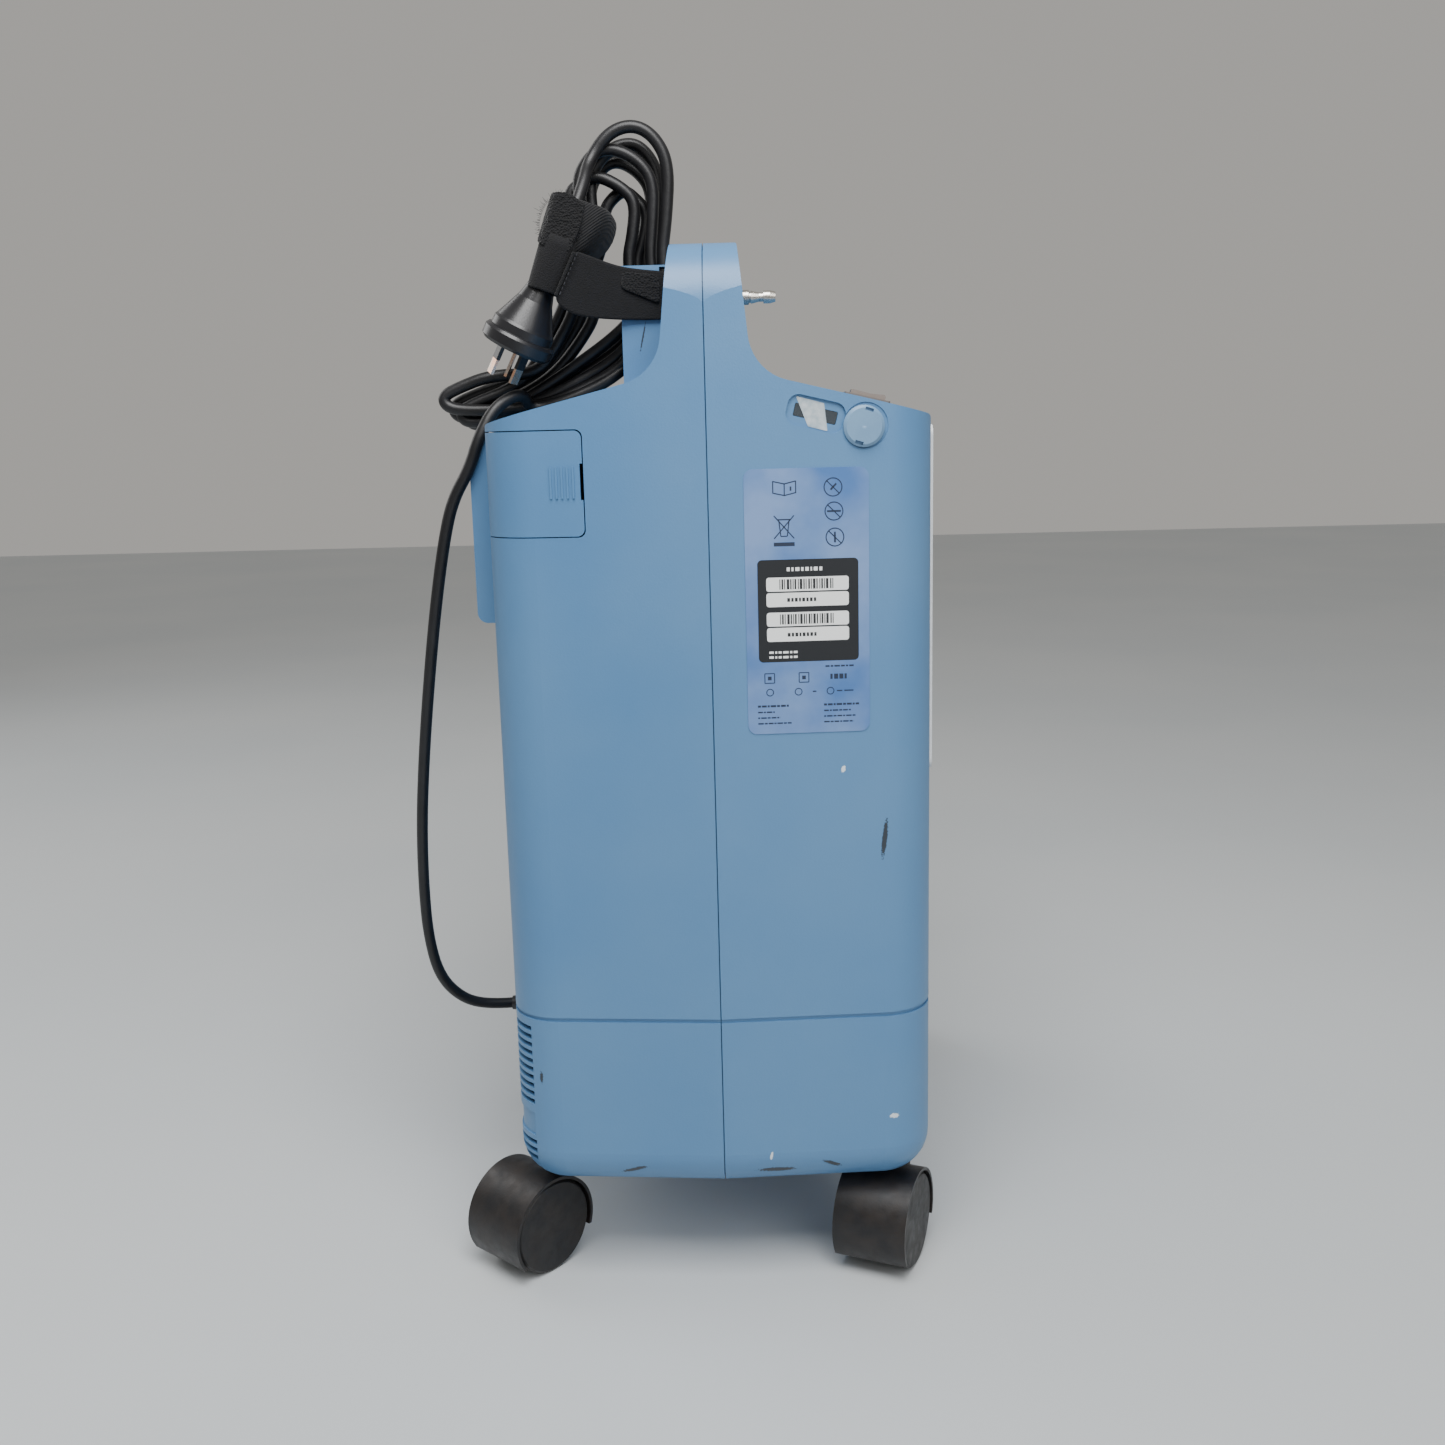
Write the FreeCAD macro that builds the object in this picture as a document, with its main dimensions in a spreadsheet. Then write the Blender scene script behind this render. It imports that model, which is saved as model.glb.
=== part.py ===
import FreeCAD, Part
import math
import os
import re

from FreeCAD import Placement, Rotation, Vector

# An oxygen concentrator on four twin-wheel casters, in millimetres.
# X is the width, the front faces -Y, +Z is up, and the origin is on the floor under the body's centre.
# The "left" side is -X, the "front" is -Y.

doc = FreeCAD.newDocument("oxygen_concentrator")

# ---------------------------------------------------------------- driving dimensions
SIZES = {
    # body
    "body_width": 381,
    "body_depth": 241,
    "body_top": 588,
    "underside": 60.5,
    "wall": 3,
    "side_draft": 8,
    "corner_round": 30,
    "foot_round": 24,
    "shoulder_round": 34,
    "deck_edge": 497,
    "neck_foot": 520.4,
    "neck_half_top": 17.5,
    "neck_half_foot": 24.4,
    "waist_round": 26,
    "seam_gap": 0.6,
    "groove_height": 166,
    "groove_deep": 1.2,
    "groove_tall": 2.4,
    # carrying handle
    "slot_half": 95,
    "slot_low": 526,
    "slot_high": 560,
    # humidifier bottle bay
    "bay_x": 105,
    "bay_y": -85,
    "bay_radius": 48,
    "bay_floor": 330,
    # rear cheeks and rear bump
    "cheek_out": 120,
    "cheek_thick": 12,
    "cheek_back": 47,
    "cheek_top": 582,
    "bump_back": 136.7,
    "bump_low": 385,
    "bump_high": 489,
    # filter door
    "door_front": 65.5,
    "door_low": 438,
    "door_high": 493,
    "door_edge": -133.2,
    "door_thick": 2.6,
    "hinge_x": -134.6,
    "hinge_y": 119,
    # louvres
    "louvre_low": 76.5,
    "louvre_pitch": 5,
    "louvre_tall": 3,
    # front insert and its controls
    "insert_left": -152,
    "insert_right": 42,
    "insert_low": 300,
    "insert_high": 492,
    "insert_proud": 1.9,
    "meter_x": -24,
    "meter_half": 16,
    "meter_low": 340,
    "meter_high": 470,
    "meter_depth": 22,
    "tube_radius": 6,
    "tube_bore": 3.9,
    "tube_low": 372,
    "tube_high": 466,
    "float_radius": 3.5,
    "knob_radius": 9,
    "knob_height": 356,
    # side details
    "label_long": 65.9,
    "label_tall": 141,
    "label_y": -51.6,
    "label_z": 400.5,
    "pill_y": -57,
    "pill_z": 498.5,
    "pill_long": 31,
    "pill_tall": 16,
    "cap_y": -82,
    "cap_z": 491.7,
    "cap_radius": 10.8,
    # power switch
    "switch_x": -150,
    "switch_y": -86.2,
    "switch_long": 25,
    "switch_wide": 15,
    # oxygen outlet
    "barb_x": -125,
    "barb_z": 563,
    "barb_radius": 3.5,
    "barb_length": 18,
    # casters
    "caster_x": 135,
    "caster_y": 103.5,
    "wheel_radius": 28,
    "wheel_thick": 16,
    "caster_width": 44,
    "hood_radius": 30.6,
    "hood_gap": 0.7,
    "web_thick": 9,
    "trail": 24,
    "axle_radius": 4,
    "stem_radius": 5,
    "running_gap": 0.05,
    # inside
    "chassis_low": 76,
    "chassis_thick": 4,
    "chassis_long": 300,
    "chassis_deep": 206,
    "socket_radius": 9,
    "socket_top": 100,
    "motor_radius": 45,
    "motor_length": 140,
    "motor_x": 20,
    "motor_z": 150,
    "box_left": -95,
    "box_long": 228,
    "box_deep": 176,
    "box_top": 240,
    "box_wall": 6,
    "fan_frame": 92,
    "fan_bore": 43,
    "fan_thick": 22,
    "bed_radius": 36,
    "bed_x": -137,
    "bed_y": 46,
    "bed_low": 82,
    "bed_high": 400,
    "tank_x": 107,
    "tank_y": 55,
    "tank_radius": 40,
    "tank_low": 258,
    "tank_high": 420,
    # mains lead
    "lead_width": 7,
    "relief_x": -35,
    "relief_z": 117,
    "relief_length": 23,
}

sheet = doc.addObject("Spreadsheet::Sheet", "sizes")
for row, (alias, value) in enumerate(SIZES.items(), start=1):
    sheet.set("A%d" % row, alias)
    sheet.set("B%d" % row, str(value))
    sheet.setAlias("B%d" % row, alias)
doc.recompute()


def mm(alias):
    """The value of one cell of the sheet."""
    return float(sheet.get(alias))


def formula(value):
    """Text for setExpression: each alias in it gets the sheet's name in front."""

    def named(word):
        return "sizes." + word.group() if word.group() in SIZES else word.group()

    return re.sub(r"[a-z_][a-z_0-9]*", named, str(value))


# ---------------------------------------------------------------- small builders
ALONG = {
    "x": Rotation(Vector(0, 1, 0), 90),
    "y": Rotation(Vector(1, 0, 0), -90),
    "z": Rotation(),
}
nodes = {}


def node(name, obj):
    """Keep an object as one of the model's sub-parts."""
    obj.Label = name
    nodes[name] = obj
    return obj


def place(obj, at, turn=None):
    """Put an object at a point whose coordinates are numbers or expressions."""
    obj.Placement = Placement(Vector(0, 0, 0), turn or Rotation())
    for axis, value in zip("xyz", at):
        obj.setExpression("Placement.Base." + axis, formula(value))
    return obj


def block(name, at, size):
    """A box by its lowest corner and its lengths along X, Y and Z."""
    obj = doc.addObject("Part::Box", name)
    for side, value in zip(("Length", "Width", "Height"), size):
        obj.setExpression(side, formula(value))
    return place(obj, at)


def rod(name, at, radius, length, along="z"):
    """A cylinder from a point along one axis."""
    obj = doc.addObject("Part::Cylinder", name)
    obj.setExpression("Radius", formula(radius))
    obj.setExpression("Height", formula(length))
    return place(obj, at, ALONG[along])


def cone(name, at, first, last, length, along="z"):
    """A tapered rod from a point along one axis."""
    obj = doc.addObject("Part::Cone", name)
    obj.setExpression("Radius1", formula(first))
    obj.setExpression("Radius2", formula(last))
    obj.setExpression("Height", formula(length))
    return place(obj, at, ALONG[along])


def ring(name, at, radius, thickness):
    """A torus lying flat."""
    obj = doc.addObject("Part::Torus", name)
    obj.setExpression("Radius1", formula(radius))
    obj.setExpression("Radius2", formula(thickness))
    return place(obj, at)


def join(name, pieces):
    obj = doc.addObject("Part::MultiFuse", name)
    obj.Shapes = pieces
    return obj


def carve(name, base, tools):
    """Cut one or more pieces out of a base."""
    obj = doc.addObject("Part::Cut", name)
    obj.Base = base
    obj.Tool = tools[0] if len(tools) == 1 else join(name + "_tools", tools)
    return obj


def shaped(name, shape, placement=None):
    """A sub-part whose outline no primitive gives: its shape is worked out from the sheet."""
    obj = doc.addObject("Part::Feature", name)
    obj.Shape = shape
    if placement:
        obj.Placement = placement.multiply(obj.Placement)
    return obj


def rounded_outline(corners):
    """A closed wire in the XY plane through (x, y, radius) corners, each rounded by a tangent arc."""
    count = len(corners)
    edges = []
    starts, ends, middles = [], [], []
    for i, (x, y, radius) in enumerate(corners):
        here = Vector(x, y, 0)
        back = (Vector(*corners[i - 1][:2], 0) - here).normalize()
        onward = (Vector(*corners[(i + 1) % count][:2], 0) - here).normalize()
        half = back.getAngle(onward) / 2
        reach = radius / math.tan(half) if radius else 0
        starts.append(here + back * reach)
        ends.append(here + onward * reach)
        inward = (back + onward).normalize() if radius else Vector()
        centre = here + inward * (radius / math.sin(half)) if radius else here
        middles.append(centre - inward * radius if radius else None)
    for i in range(count):
        if middles[i] is not None:
            edges.append(Part.Arc(starts[i], middles[i], ends[i]).toShape())
        after = (i + 1) % count
        if (starts[after] - ends[i]).Length > 1e-6:
            edges.append(Part.LineSegment(ends[i], starts[after]).toShape())
    return Part.Wire(edges)


# Rotations that carry an outline drawn in XY onto another plane.
ONTO_YZ = Placement(Vector(), Rotation(Vector(1, 1, 1), 120))
ONTO_XZ = Placement(Vector(), Rotation(Vector(1, 0, 0), 90))


def prism(wire, low, high, onto=None):
    """Extrude an outline from low to high along its normal, then turn it onto its plane."""
    solid = Part.Face(wire).extrude(Vector(0, 0, high - low))
    solid.translate(Vector(0, 0, low))
    if onto:
        solid.Placement = onto.multiply(solid.Placement)
    return solid


def turned_outline(points, at, along):
    """A solid of revolution: (radius, distance) points spun about an axis through a point."""
    wire = Part.makePolygon([Vector(r, 0, d) for r, d in points] + [Vector(points[0][0], 0, points[0][1])])
    solid = Part.Face(wire).revolve(Vector(), Vector(0, 0, 1), 360)
    solid.Placement = Placement(Vector(*at), ALONG[along]).multiply(solid.Placement)
    return solid


def round_box(low, high, radius, axis):
    """A box with the four edges along one axis rounded."""
    (x0, y0, z0), (x1, y1, z1) = low, high
    if axis == "x":
        corners = [(y0, z0), (y1, z0), (y1, z1), (y0, z1)]
        return prism(rounded_outline([(a, b, radius) for a, b in corners]), x0, x1, ONTO_YZ)
    if axis == "y":
        corners = [(x0, z0), (x1, z0), (x1, z1), (x0, z1)]
        return prism(rounded_outline([(a, b, radius) for a, b in corners]), -y1, -y0, ONTO_XZ)
    corners = [(x0, y0), (x1, y0), (x1, y1), (x0, y1)]
    return prism(rounded_outline([(a, b, radius) for a, b in corners]), z0, z1)


# ---------------------------------------------------------------- routes of tubes and leads
def route_wire(points, name):
    """Straight runs joined by tangent arcs, each as large as its two runs allow."""
    points = [Vector(*p) for p in points]
    edges = []
    start = points[0]
    radii = []
    for before, here, after in zip(points, points[1:], points[2:]):
        back = before - here
        onward = after - here
        turn = math.pi - back.getAngle(onward)
        cut = 0.45 * min(back.Length, onward.Length)
        radius = cut / math.tan(turn / 2)
        radii.append(round(radius))
        back.normalize()
        onward.normalize()
        arc_start = here + back * cut
        arc_end = here + onward * cut
        inward = (back + onward).normalize()
        centre = here + inward * (radius / math.cos(turn / 2))
        edges.append(Part.LineSegment(start, arc_start).toShape())
        edges.append(Part.Arc(arc_start, centre - inward * radius, arc_end).toShape())
        start = arc_end
    edges.append(Part.LineSegment(start, points[-1]).toShape())
    print(name, "bend radii", radii, "length", round(sum(e.Length for e in edges), 1))
    return Part.Wire(edges)


def tube_along(points, radius, name):
    """A round tube along a route, its volume compared with its section times its length."""
    wire = route_wire(points, name)
    first = Vector(*points[1]) - Vector(*points[0])
    circle = Part.Wire(Part.makeCircle(radius, Vector(*points[0]), first))
    tube = wire.makePipeShell([circle], True, True)
    expected = math.pi * radius**2 * wire.Length
    if abs(tube.Volume - expected) > 0.02 * expected:
        raise ValueError("%s: volume %.0f, expected %.0f" % (name, tube.Volume, expected))
    return tube


# ---------------------------------------------------------------- body shape
HALF_WIDTH = mm("body_width") / 2
HALF_DEPTH = mm("body_depth") / 2
TOP = mm("body_top")
UNDERSIDE = mm("underside")
WALL = mm("wall")


def side_profile():
    """Front-to-back section of the body: tall neck, sloping decks, rounded foot."""
    half = [
        (HALF_DEPTH, UNDERSIDE - 20, 0),
        (HALF_DEPTH, mm("deck_edge"), 4),
        (mm("neck_half_foot"), mm("neck_foot"), mm("waist_round")),
        (mm("neck_half_top"), TOP, 2),
    ]
    mirrored = [(-y, z, radius) for y, z, radius in reversed(half)]
    return rounded_outline(half + mirrored)


def plan_profile():
    """Plan of the body: widest at the seam, drafted to the front and rear."""
    narrow = HALF_WIDTH - mm("side_draft")
    corner = mm("corner_round")
    return rounded_outline(
        [
            (HALF_WIDTH, 0, 0),
            (narrow, HALF_DEPTH, corner),
            (-narrow, HALF_DEPTH, corner),
            (-HALF_WIDTH, 0, 0),
            (-narrow, -HALF_DEPTH, corner),
            (narrow, -HALF_DEPTH, corner),
        ]
    )


def front_profile():
    """Front outline of the body, with rounded shoulders and foot."""
    shoulder = mm("shoulder_round")
    return rounded_outline(
        [
            (-HALF_WIDTH, UNDERSIDE - 20, 0),
            (HALF_WIDTH, UNDERSIDE - 20, 0),
            (HALF_WIDTH, TOP, shoulder),
            (-HALF_WIDTH, TOP, shoulder),
        ]
    )


def inset_wire(wire, inset):
    return wire.makeOffset2D(-inset) if inset else wire


def slab(low_y, high_y):
    return Part.makeBox(500, high_y - low_y, 800, Vector(-250, low_y, 0))


def rounded_foot(inset):
    """The plan pulled up from the underside, each half's bottom edge rounded before they are joined."""
    floor = UNDERSIDE + inset
    plan = prism(inset_wire(plan_profile(), inset), floor, 700)
    halves = []
    for low_y, high_y in ((-200, 0), (0, 200)):
        half = plan.common(slab(low_y, high_y))
        rim = [
            edge
            for edge in half.Edges
            if abs(edge.BoundBox.ZMax - floor) < 0.001 and edge.BoundBox.YLength > 0.001
            or abs(edge.BoundBox.ZMax - floor) < 0.001 and abs(edge.BoundBox.YMax) > 1
        ]
        halves.append(half.makeFillet(mm("foot_round") - inset, rim))
    return halves[0].fuse(halves[1])


def body_solid(inset):
    """The body's outer solid, or the same shape a given distance inside it."""
    side = prism(inset_wire(side_profile(), inset), -250, 250, ONTO_YZ)
    plan = rounded_foot(inset)
    front = prism(inset_wire(front_profile(), inset), -250, 250, ONTO_XZ)
    return side.common(plan).common(front)


def handle_slot(grow):
    """The full-round carrying slot through the neck, grown by a wall where asked."""
    low = mm("slot_low") - grow
    high = mm("slot_high") + grow
    reach = mm("slot_half") + grow
    radius = (high - low) / 2 - 0.01
    return round_box((-reach, -60, low), (reach, 60, high), radius, "y")


def bottle_bay(grow):
    """The humidifier bottle's bay: round at the back, open to the front and the top."""
    x, y, radius = mm("bay_x"), mm("bay_y"), mm("bay_radius") + grow
    low = mm("bay_floor") - grow
    well = Part.makeCylinder(radius, 300, Vector(x, y, low))
    mouth = Part.makeBox(2 * radius - 8, 60, 300, Vector(x - radius + 4, y - 60, low))
    return well.fuse(mouth)


outer = body_solid(0)
inner = body_solid(WALL).cut(handle_slot(WALL)).cut(bottle_bay(WALL))
groove_band = Part.makeBox(
    500, 400, mm("groove_tall"), Vector(-250, -200, mm("groove_height") - mm("groove_tall") / 2)
)
groove = groove_band.cut(prism(inset_wire(plan_profile(), mm("groove_deep")), 0, 700))
HALF_GAP = mm("seam_gap") / 2


def side_point(y):
    """X of the left outer wall at a depth: the side draws in away from the seam."""
    return -(HALF_WIDTH - mm("side_draft") * abs(y) / HALF_DEPTH)


DRAFT_ANGLE = math.degrees(math.atan2(mm("side_draft"), HALF_DEPTH))
DECK_SLOPE = math.degrees(
    math.atan2(mm("neck_foot") - mm("deck_edge"), HALF_DEPTH - mm("neck_half_foot"))
)


def on_left_side(y, z, tilt=0):
    """Placement on the left front wall: local X forward along the wall, Y up, Z outward."""
    facing = Rotation(Vector(0, -1, 0), Vector(0, 0, 1), Vector(-1, 0, 0), "ZXY")
    drafted = Rotation(Vector(0, 0, 1), DRAFT_ANGLE).multiply(facing)
    turned = drafted.multiply(Rotation(Vector(0, 0, 1), tilt))
    return Placement(Vector(side_point(y), y, z), turned)


def deck_height(y):
    rise = (mm("neck_foot") - mm("deck_edge")) / (HALF_DEPTH - mm("neck_half_foot"))
    return mm("deck_edge") + rise * (HALF_DEPTH - abs(y))


def plate(long, tall, radius, low, high):
    """A flat plate with rounded corners, centred on the local origin."""
    corners = [(-long / 2, -tall / 2), (long / 2, -tall / 2), (long / 2, tall / 2), (-long / 2, tall / 2)]
    return prism(rounded_outline([(x, y, radius) for x, y in corners]), low, high)


def put(shape, placement):
    moved = shape.copy()
    moved.Placement = placement.multiply(shape.Placement)
    return moved


# ---------------------------------------------------------------- front cover
PILL = on_left_side(mm("pill_y"), mm("pill_z"), -DECK_SLOPE)
CAP = on_left_side(mm("cap_y"), mm("cap_z"))
METER_CUT = 0.4


def build_front_cover():
    cover = outer.common(slab(-200, -HALF_GAP)).cut(inner)
    cover = cover.cut(groove).cut(handle_slot(0)).cut(bottle_bay(0))
    pill_long, pill_tall = mm("pill_long"), mm("pill_tall")
    cover = cover.cut(put(plate(pill_long, pill_tall, 6, -1.6, 5), PILL))
    cover = cover.cut(put(plate(23, 6.8, 0.8, -6, 1), PILL))
    cover = cover.cut(put(Part.makeCylinder(8.2, 12, Vector(0, 0, -6)), CAP))
    cover = cover.cut(put(Part.makeCylinder(mm("cap_radius") + 1.1, 6, Vector(1, 0.4, -0.6)), CAP))
    meter = round_box(
        (mm("meter_x") - mm("meter_half") - METER_CUT, -130, mm("meter_low") - METER_CUT),
        (mm("meter_x") + mm("meter_half") + METER_CUT, -110, mm("meter_high") + METER_CUT),
        0.3,
        "y",
    )
    cover = cover.cut(meter)
    cover = cover.cut(put(plate(switch_hole[0], switch_hole[1], 1, -10, 10), SWITCH))
    cover = cover.cut(
        Part.makeCylinder(4, 14, Vector(mm("barb_x"), -26, mm("barb_z")), Vector(0, 1, 0))
    )
    for x in (-mm("caster_x"), mm("caster_x")):
        cover = cover.cut(
            Part.makeCylinder(mm("socket_radius") + 0.6, 50, Vector(x, -mm("caster_y"), 50))
        )
    return cover


# The switch sits square on the sloping front deck, its long side front to back.
SWITCH = Placement(
    Vector(mm("switch_x"), mm("switch_y"), deck_height(mm("switch_y"))),
    Rotation(Vector(1, 0, 0), DECK_SLOPE),
)
switch_hole = (mm("switch_wide") - 2, mm("switch_long") - 2)
node("front_cover", shaped("front_cover", build_front_cover()))

# ---------------------------------------------------------------- rear cover
DOOR_GAP = 0.6


def cheek(sign):
    """One upright cheek behind the neck; the lead is wound between the pair."""
    outside = sign * mm("cheek_out")
    inside = outside - sign * mm("cheek_thick")
    low_x, high_x = sorted((outside, inside))
    return round_box((low_x, 19, 505), (high_x, mm("cheek_back"), mm("cheek_top")), 0.5, "x")


def rear_bump(inset):
    reach = mm("cheek_out") - inset
    low = (-reach, HALF_DEPTH - 10, mm("bump_low") + inset)
    high = (reach, mm("bump_back") - inset, mm("bump_high") - inset)
    return round_box(low, high, 6, "x")


def louvre_slots():
    """Ten exhaust slots, a plain pad, and three more slots, round the lower left rear corner."""
    slots = []
    for first, count in ((mm("louvre_low"), 3), (mm("louvre_low") + 35.5, 10)):
        for i in range(count):
            z = first + i * mm("louvre_pitch")
            for x, length in ((-190, 39), (-148, 30)):
                slots.append(Part.makeBox(length, 20, mm("louvre_tall"), Vector(x, 109, z)))
    return slots


def build_rear_cover():
    skin = outer.common(slab(HALF_GAP, 200))
    skin = skin.fuse(rear_bump(0).cut(slab(-200, HALF_DEPTH - 1)))
    # The lip behind the seam lines the two covers up.
    lip_space = body_solid(WALL + 0.3).cut(body_solid(WALL + 2.3))
    lip = lip_space.common(slab(-5, 4)).fuse(
        body_solid(WALL - 0.5).cut(body_solid(WALL + 2.3)).common(slab(1, 4))
    )
    lip = lip.cut(handle_slot(WALL + 3)).cut(bottle_bay(WALL + 3))
    cover = skin.cut(inner).cut(rear_bump(WALL).cut(slab(-200, HALF_DEPTH - WALL - 1)))
    cover = cover.cut(groove).cut(handle_slot(0))
    cover = cover.fuse(lip)
    for sign in (-1, 1):
        cover = cover.fuse(cheek(sign).cut(body_solid(1)))
    strap_slot = Part.makeBox(16, 4, 31, Vector(-122, 21.4, 550))
    cover = cover.cut(strap_slot)
    doorway = round_box(
        (-220, mm("door_front") - DOOR_GAP, mm("door_low") - DOOR_GAP),
        (-100, 200, mm("door_high") + DOOR_GAP),
        4,
        "x",
    ).common(Part.makeBox(120 - 32.2, 300, 800, Vector(-220, 0, 0)))
    cover = cover.cut(doorway)
    for slot in louvre_slots():
        cover = cover.cut(slot)
    pad = Part.makeBox(90, 24, 14, Vector(-210, 109.5, mm("louvre_low") + 16))
    cover = cover.cut(pad.cut(prism(inset_wire(plan_profile(), 1), 0, 700)))
    for x in (-mm("caster_x"), mm("caster_x")):
        cover = cover.cut(
            Part.makeCylinder(mm("socket_radius") + 0.6, 50, Vector(x, mm("caster_y"), 50))
        )
    cover = cover.cut(
        Part.makeCylinder(5.2, 14, Vector(mm("relief_x"), 112, mm("relief_z")), Vector(0, 1, 0))
    )
    for x, z in SCREW_SPOTS:
        cover = cover.cut(Part.makeCylinder(2.2, 14, Vector(x, 112, z), Vector(0, 1, 0)))
        cover = cover.cut(Part.makeCylinder(4.2, 4, Vector(x, 119, z), Vector(0, 1, 0)))
    return cover


SCREW_SPOTS = [(x, z) for x in (-100, 0, 100) for z in (190, 360)]
node("rear_cover", shaped("rear_cover", build_rear_cover()))

# ---------------------------------------------------------------- screws
screws = []
for x, z in SCREW_SPOTS:
    shank = Part.makeCylinder(2, 14, Vector(x, 106, z), Vector(0, 1, 0))
    head = Part.makeCylinder(4, 1.4, Vector(x, 119, z), Vector(0, 1, 0))
    screws.append(shank.fuse(head))
node("cover_screws", shaped("cover_screws", Part.makeCompound(screws)))

# ---------------------------------------------------------------- filter door, wrapped round the corner
def build_door():
    region = round_box(
        (-220, mm("door_front"), mm("door_low")), (-100, 200, mm("door_high")), 4, "x"
    ).common(Part.makeBox(220 + mm("door_edge"), 300, 800, Vector(-220, 0, 0)))
    door = body_solid(0).cut(body_solid(mm("door_thick"))).common(region)
    # Five grip ribs beside the finger edge.
    for i in range(5):
        y = 70 + 3 * i
        rib = Part.makeBox(2, 1, 16.5, Vector(side_point(y) - 0.9, y, 458))
        door = door.fuse(rib)
    return door.cut(Part.makeBox(40, 2.4, 19, Vector(-200, mm("door_front") - 1, 457)))


node("filter_door", shaped("filter_door", build_door()))
PIN_RADIUS = 0.9
door_pin_hole = Part.makeCylinder(
    PIN_RADIUS + 0.05, 80, Vector(mm("hinge_x"), mm("hinge_y"), mm("door_low") - 10)
)
stub_low = Part.makeCylinder(PIN_RADIUS, 8, Vector(mm("hinge_x"), mm("hinge_y"), mm("door_low") - 4))
stub_high = Part.makeCylinder(PIN_RADIUS, 6.4, Vector(mm("hinge_x"), mm("hinge_y"), mm("door_high") - 4))
node("door_hinge_pin", shaped("door_hinge_pin", Part.makeCompound([stub_low, stub_high])))
for name in ("filter_door", "rear_cover"):
    nodes[name].Shape = nodes[name].Shape.cut(door_pin_hole)

# ---------------------------------------------------------------- filter behind the door
tray_out = block("tray_out", (-168, 70, 440), (32, 36, 50))
tray_in = block("tray_in", (-171, 73, 443), (32, 30, 44))
node("filter_tray", carve("filter_tray", tray_out, [tray_in]))
node("intake_foam_filter", block("intake_foam_filter", (-167, 73.5, 443.5), (27, 29, 43)))

# ---------------------------------------------------------------- front insert, meter and controls
FRONT = -HALF_DEPTH


def build_insert():
    panel = round_box(
        (mm("insert_left"), FRONT - mm("insert_proud"), mm("insert_low")),
        (mm("insert_right"), FRONT, mm("insert_high")),
        6,
        "y",
    )
    window = round_box(
        (mm("meter_x") - mm("meter_half") + 2, -130, mm("meter_low") + 2),
        (mm("meter_x") + mm("meter_half") - 2, -110, mm("meter_high") - 2),
        3,
        "y",
    )
    return panel.cut(window)


node("front_insert_panel", shaped("front_insert_panel", build_insert()))
meter_blank = block(
    "meter_blank",
    ("meter_x - meter_half", "-body_depth / 2", "meter_low"),
    ("2 * meter_half", "meter_depth", "meter_high - meter_low"),
)
meter_pocket = block(
    "meter_pocket",
    ("meter_x - 10", "-body_depth / 2 - 1", "tube_low - 2"),
    (20, 14, "tube_high - tube_low + 2.4"),
)
knob_bore = rod(
    "knob_bore", ("meter_x", "-body_depth / 2 - 1", "knob_height"), "3 + running_gap", 12, "y"
)
node("flow_meter_body", carve("flow_meter_body", meter_blank, [meter_pocket, knob_bore]))
TUBE_AT = ("meter_x", "-body_depth / 2 + 6.6")
tube_out = rod("tube_out", (*TUBE_AT, "tube_low - 1.9"), "tube_radius", "tube_high - tube_low + 2.2")
tube_in = rod("tube_in", (*TUBE_AT, "tube_low"), "tube_bore", "tube_high - tube_low + 2")
node("flow_meter_tube", carve("flow_meter_tube", tube_out, [tube_in]))
node("flow_float", rod("flow_float", (*TUBE_AT, "tube_low + 0.1"), "float_radius", 6))

# The knob is a body of its own: a disc with grip flutes, and a stem into the meter.
knob = doc.addObject("PartDesign::Body", "flow_knob")


def origin_plane(body, role):
    return next(f for f in body.Origin.OriginFeatures if f.Role == role)


def circle_sketch(body, name, radius, centre=(0, 0), offset=0):
    """A sketch of one circle on the body's XY plane, its radius bound to the sheet."""
    sketch = body.newObject("Sketcher::SketchObject", name)
    sketch.AttachmentSupport = [(origin_plane(body, "XY_Plane"), "")]
    sketch.MapMode = "FlatFace"
    sketch.AttachmentOffset = Placement(Vector(0, 0, offset), Rotation())
    import Sketcher

    sketch.addGeometry(Part.Circle(Vector(*centre, 0), Vector(0, 0, 1), 5), False)
    index = sketch.addConstraint(Sketcher.Constraint("Radius", 0, 5))
    sketch.setExpression("Constraints[%d]" % index, formula(radius))
    return sketch


def pad(body, name, sketch, length):
    obj = body.newObject("PartDesign::Pad", name)
    obj.Profile = sketch
    obj.setExpression("Length", formula(length))
    return obj


def polar(body, name, original, sketch, count):
    """Repeat one feature evenly round the sketch's normal."""
    obj = body.newObject("PartDesign::PolarPattern", name)
    obj.Originals = [original]
    obj.Axis = (sketch, ["N_Axis"])
    obj.Angle = 360
    obj.Occurrences = count
    body.Tip = obj
    return obj


knob_disc_sketch = circle_sketch(knob, "knob_disc_outline", "knob_radius")
knob_disc = pad(knob, "knob_disc", knob_disc_sketch, 9)
knob_stem = pad(knob, "knob_stem", circle_sketch(knob, "knob_stem_outline", 3, offset=-12), 13)
flute_sketch = circle_sketch(knob, "flute_outline", 1.4, centre=(mm("knob_radius") + 0.5, 0), offset=9)
flute = knob.newObject("PartDesign::Pocket", "flute")
flute.Profile = flute_sketch
flute.Length = 8
polar(knob, "flutes", flute, knob_disc_sketch, 12)
knob.Placement = Placement(
    Vector(mm("meter_x"), FRONT - mm("insert_proud") - 0.5, mm("knob_height")),
    Rotation(Vector(1, 0, 0), 90),
)
node("flow_knob", knob)

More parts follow.
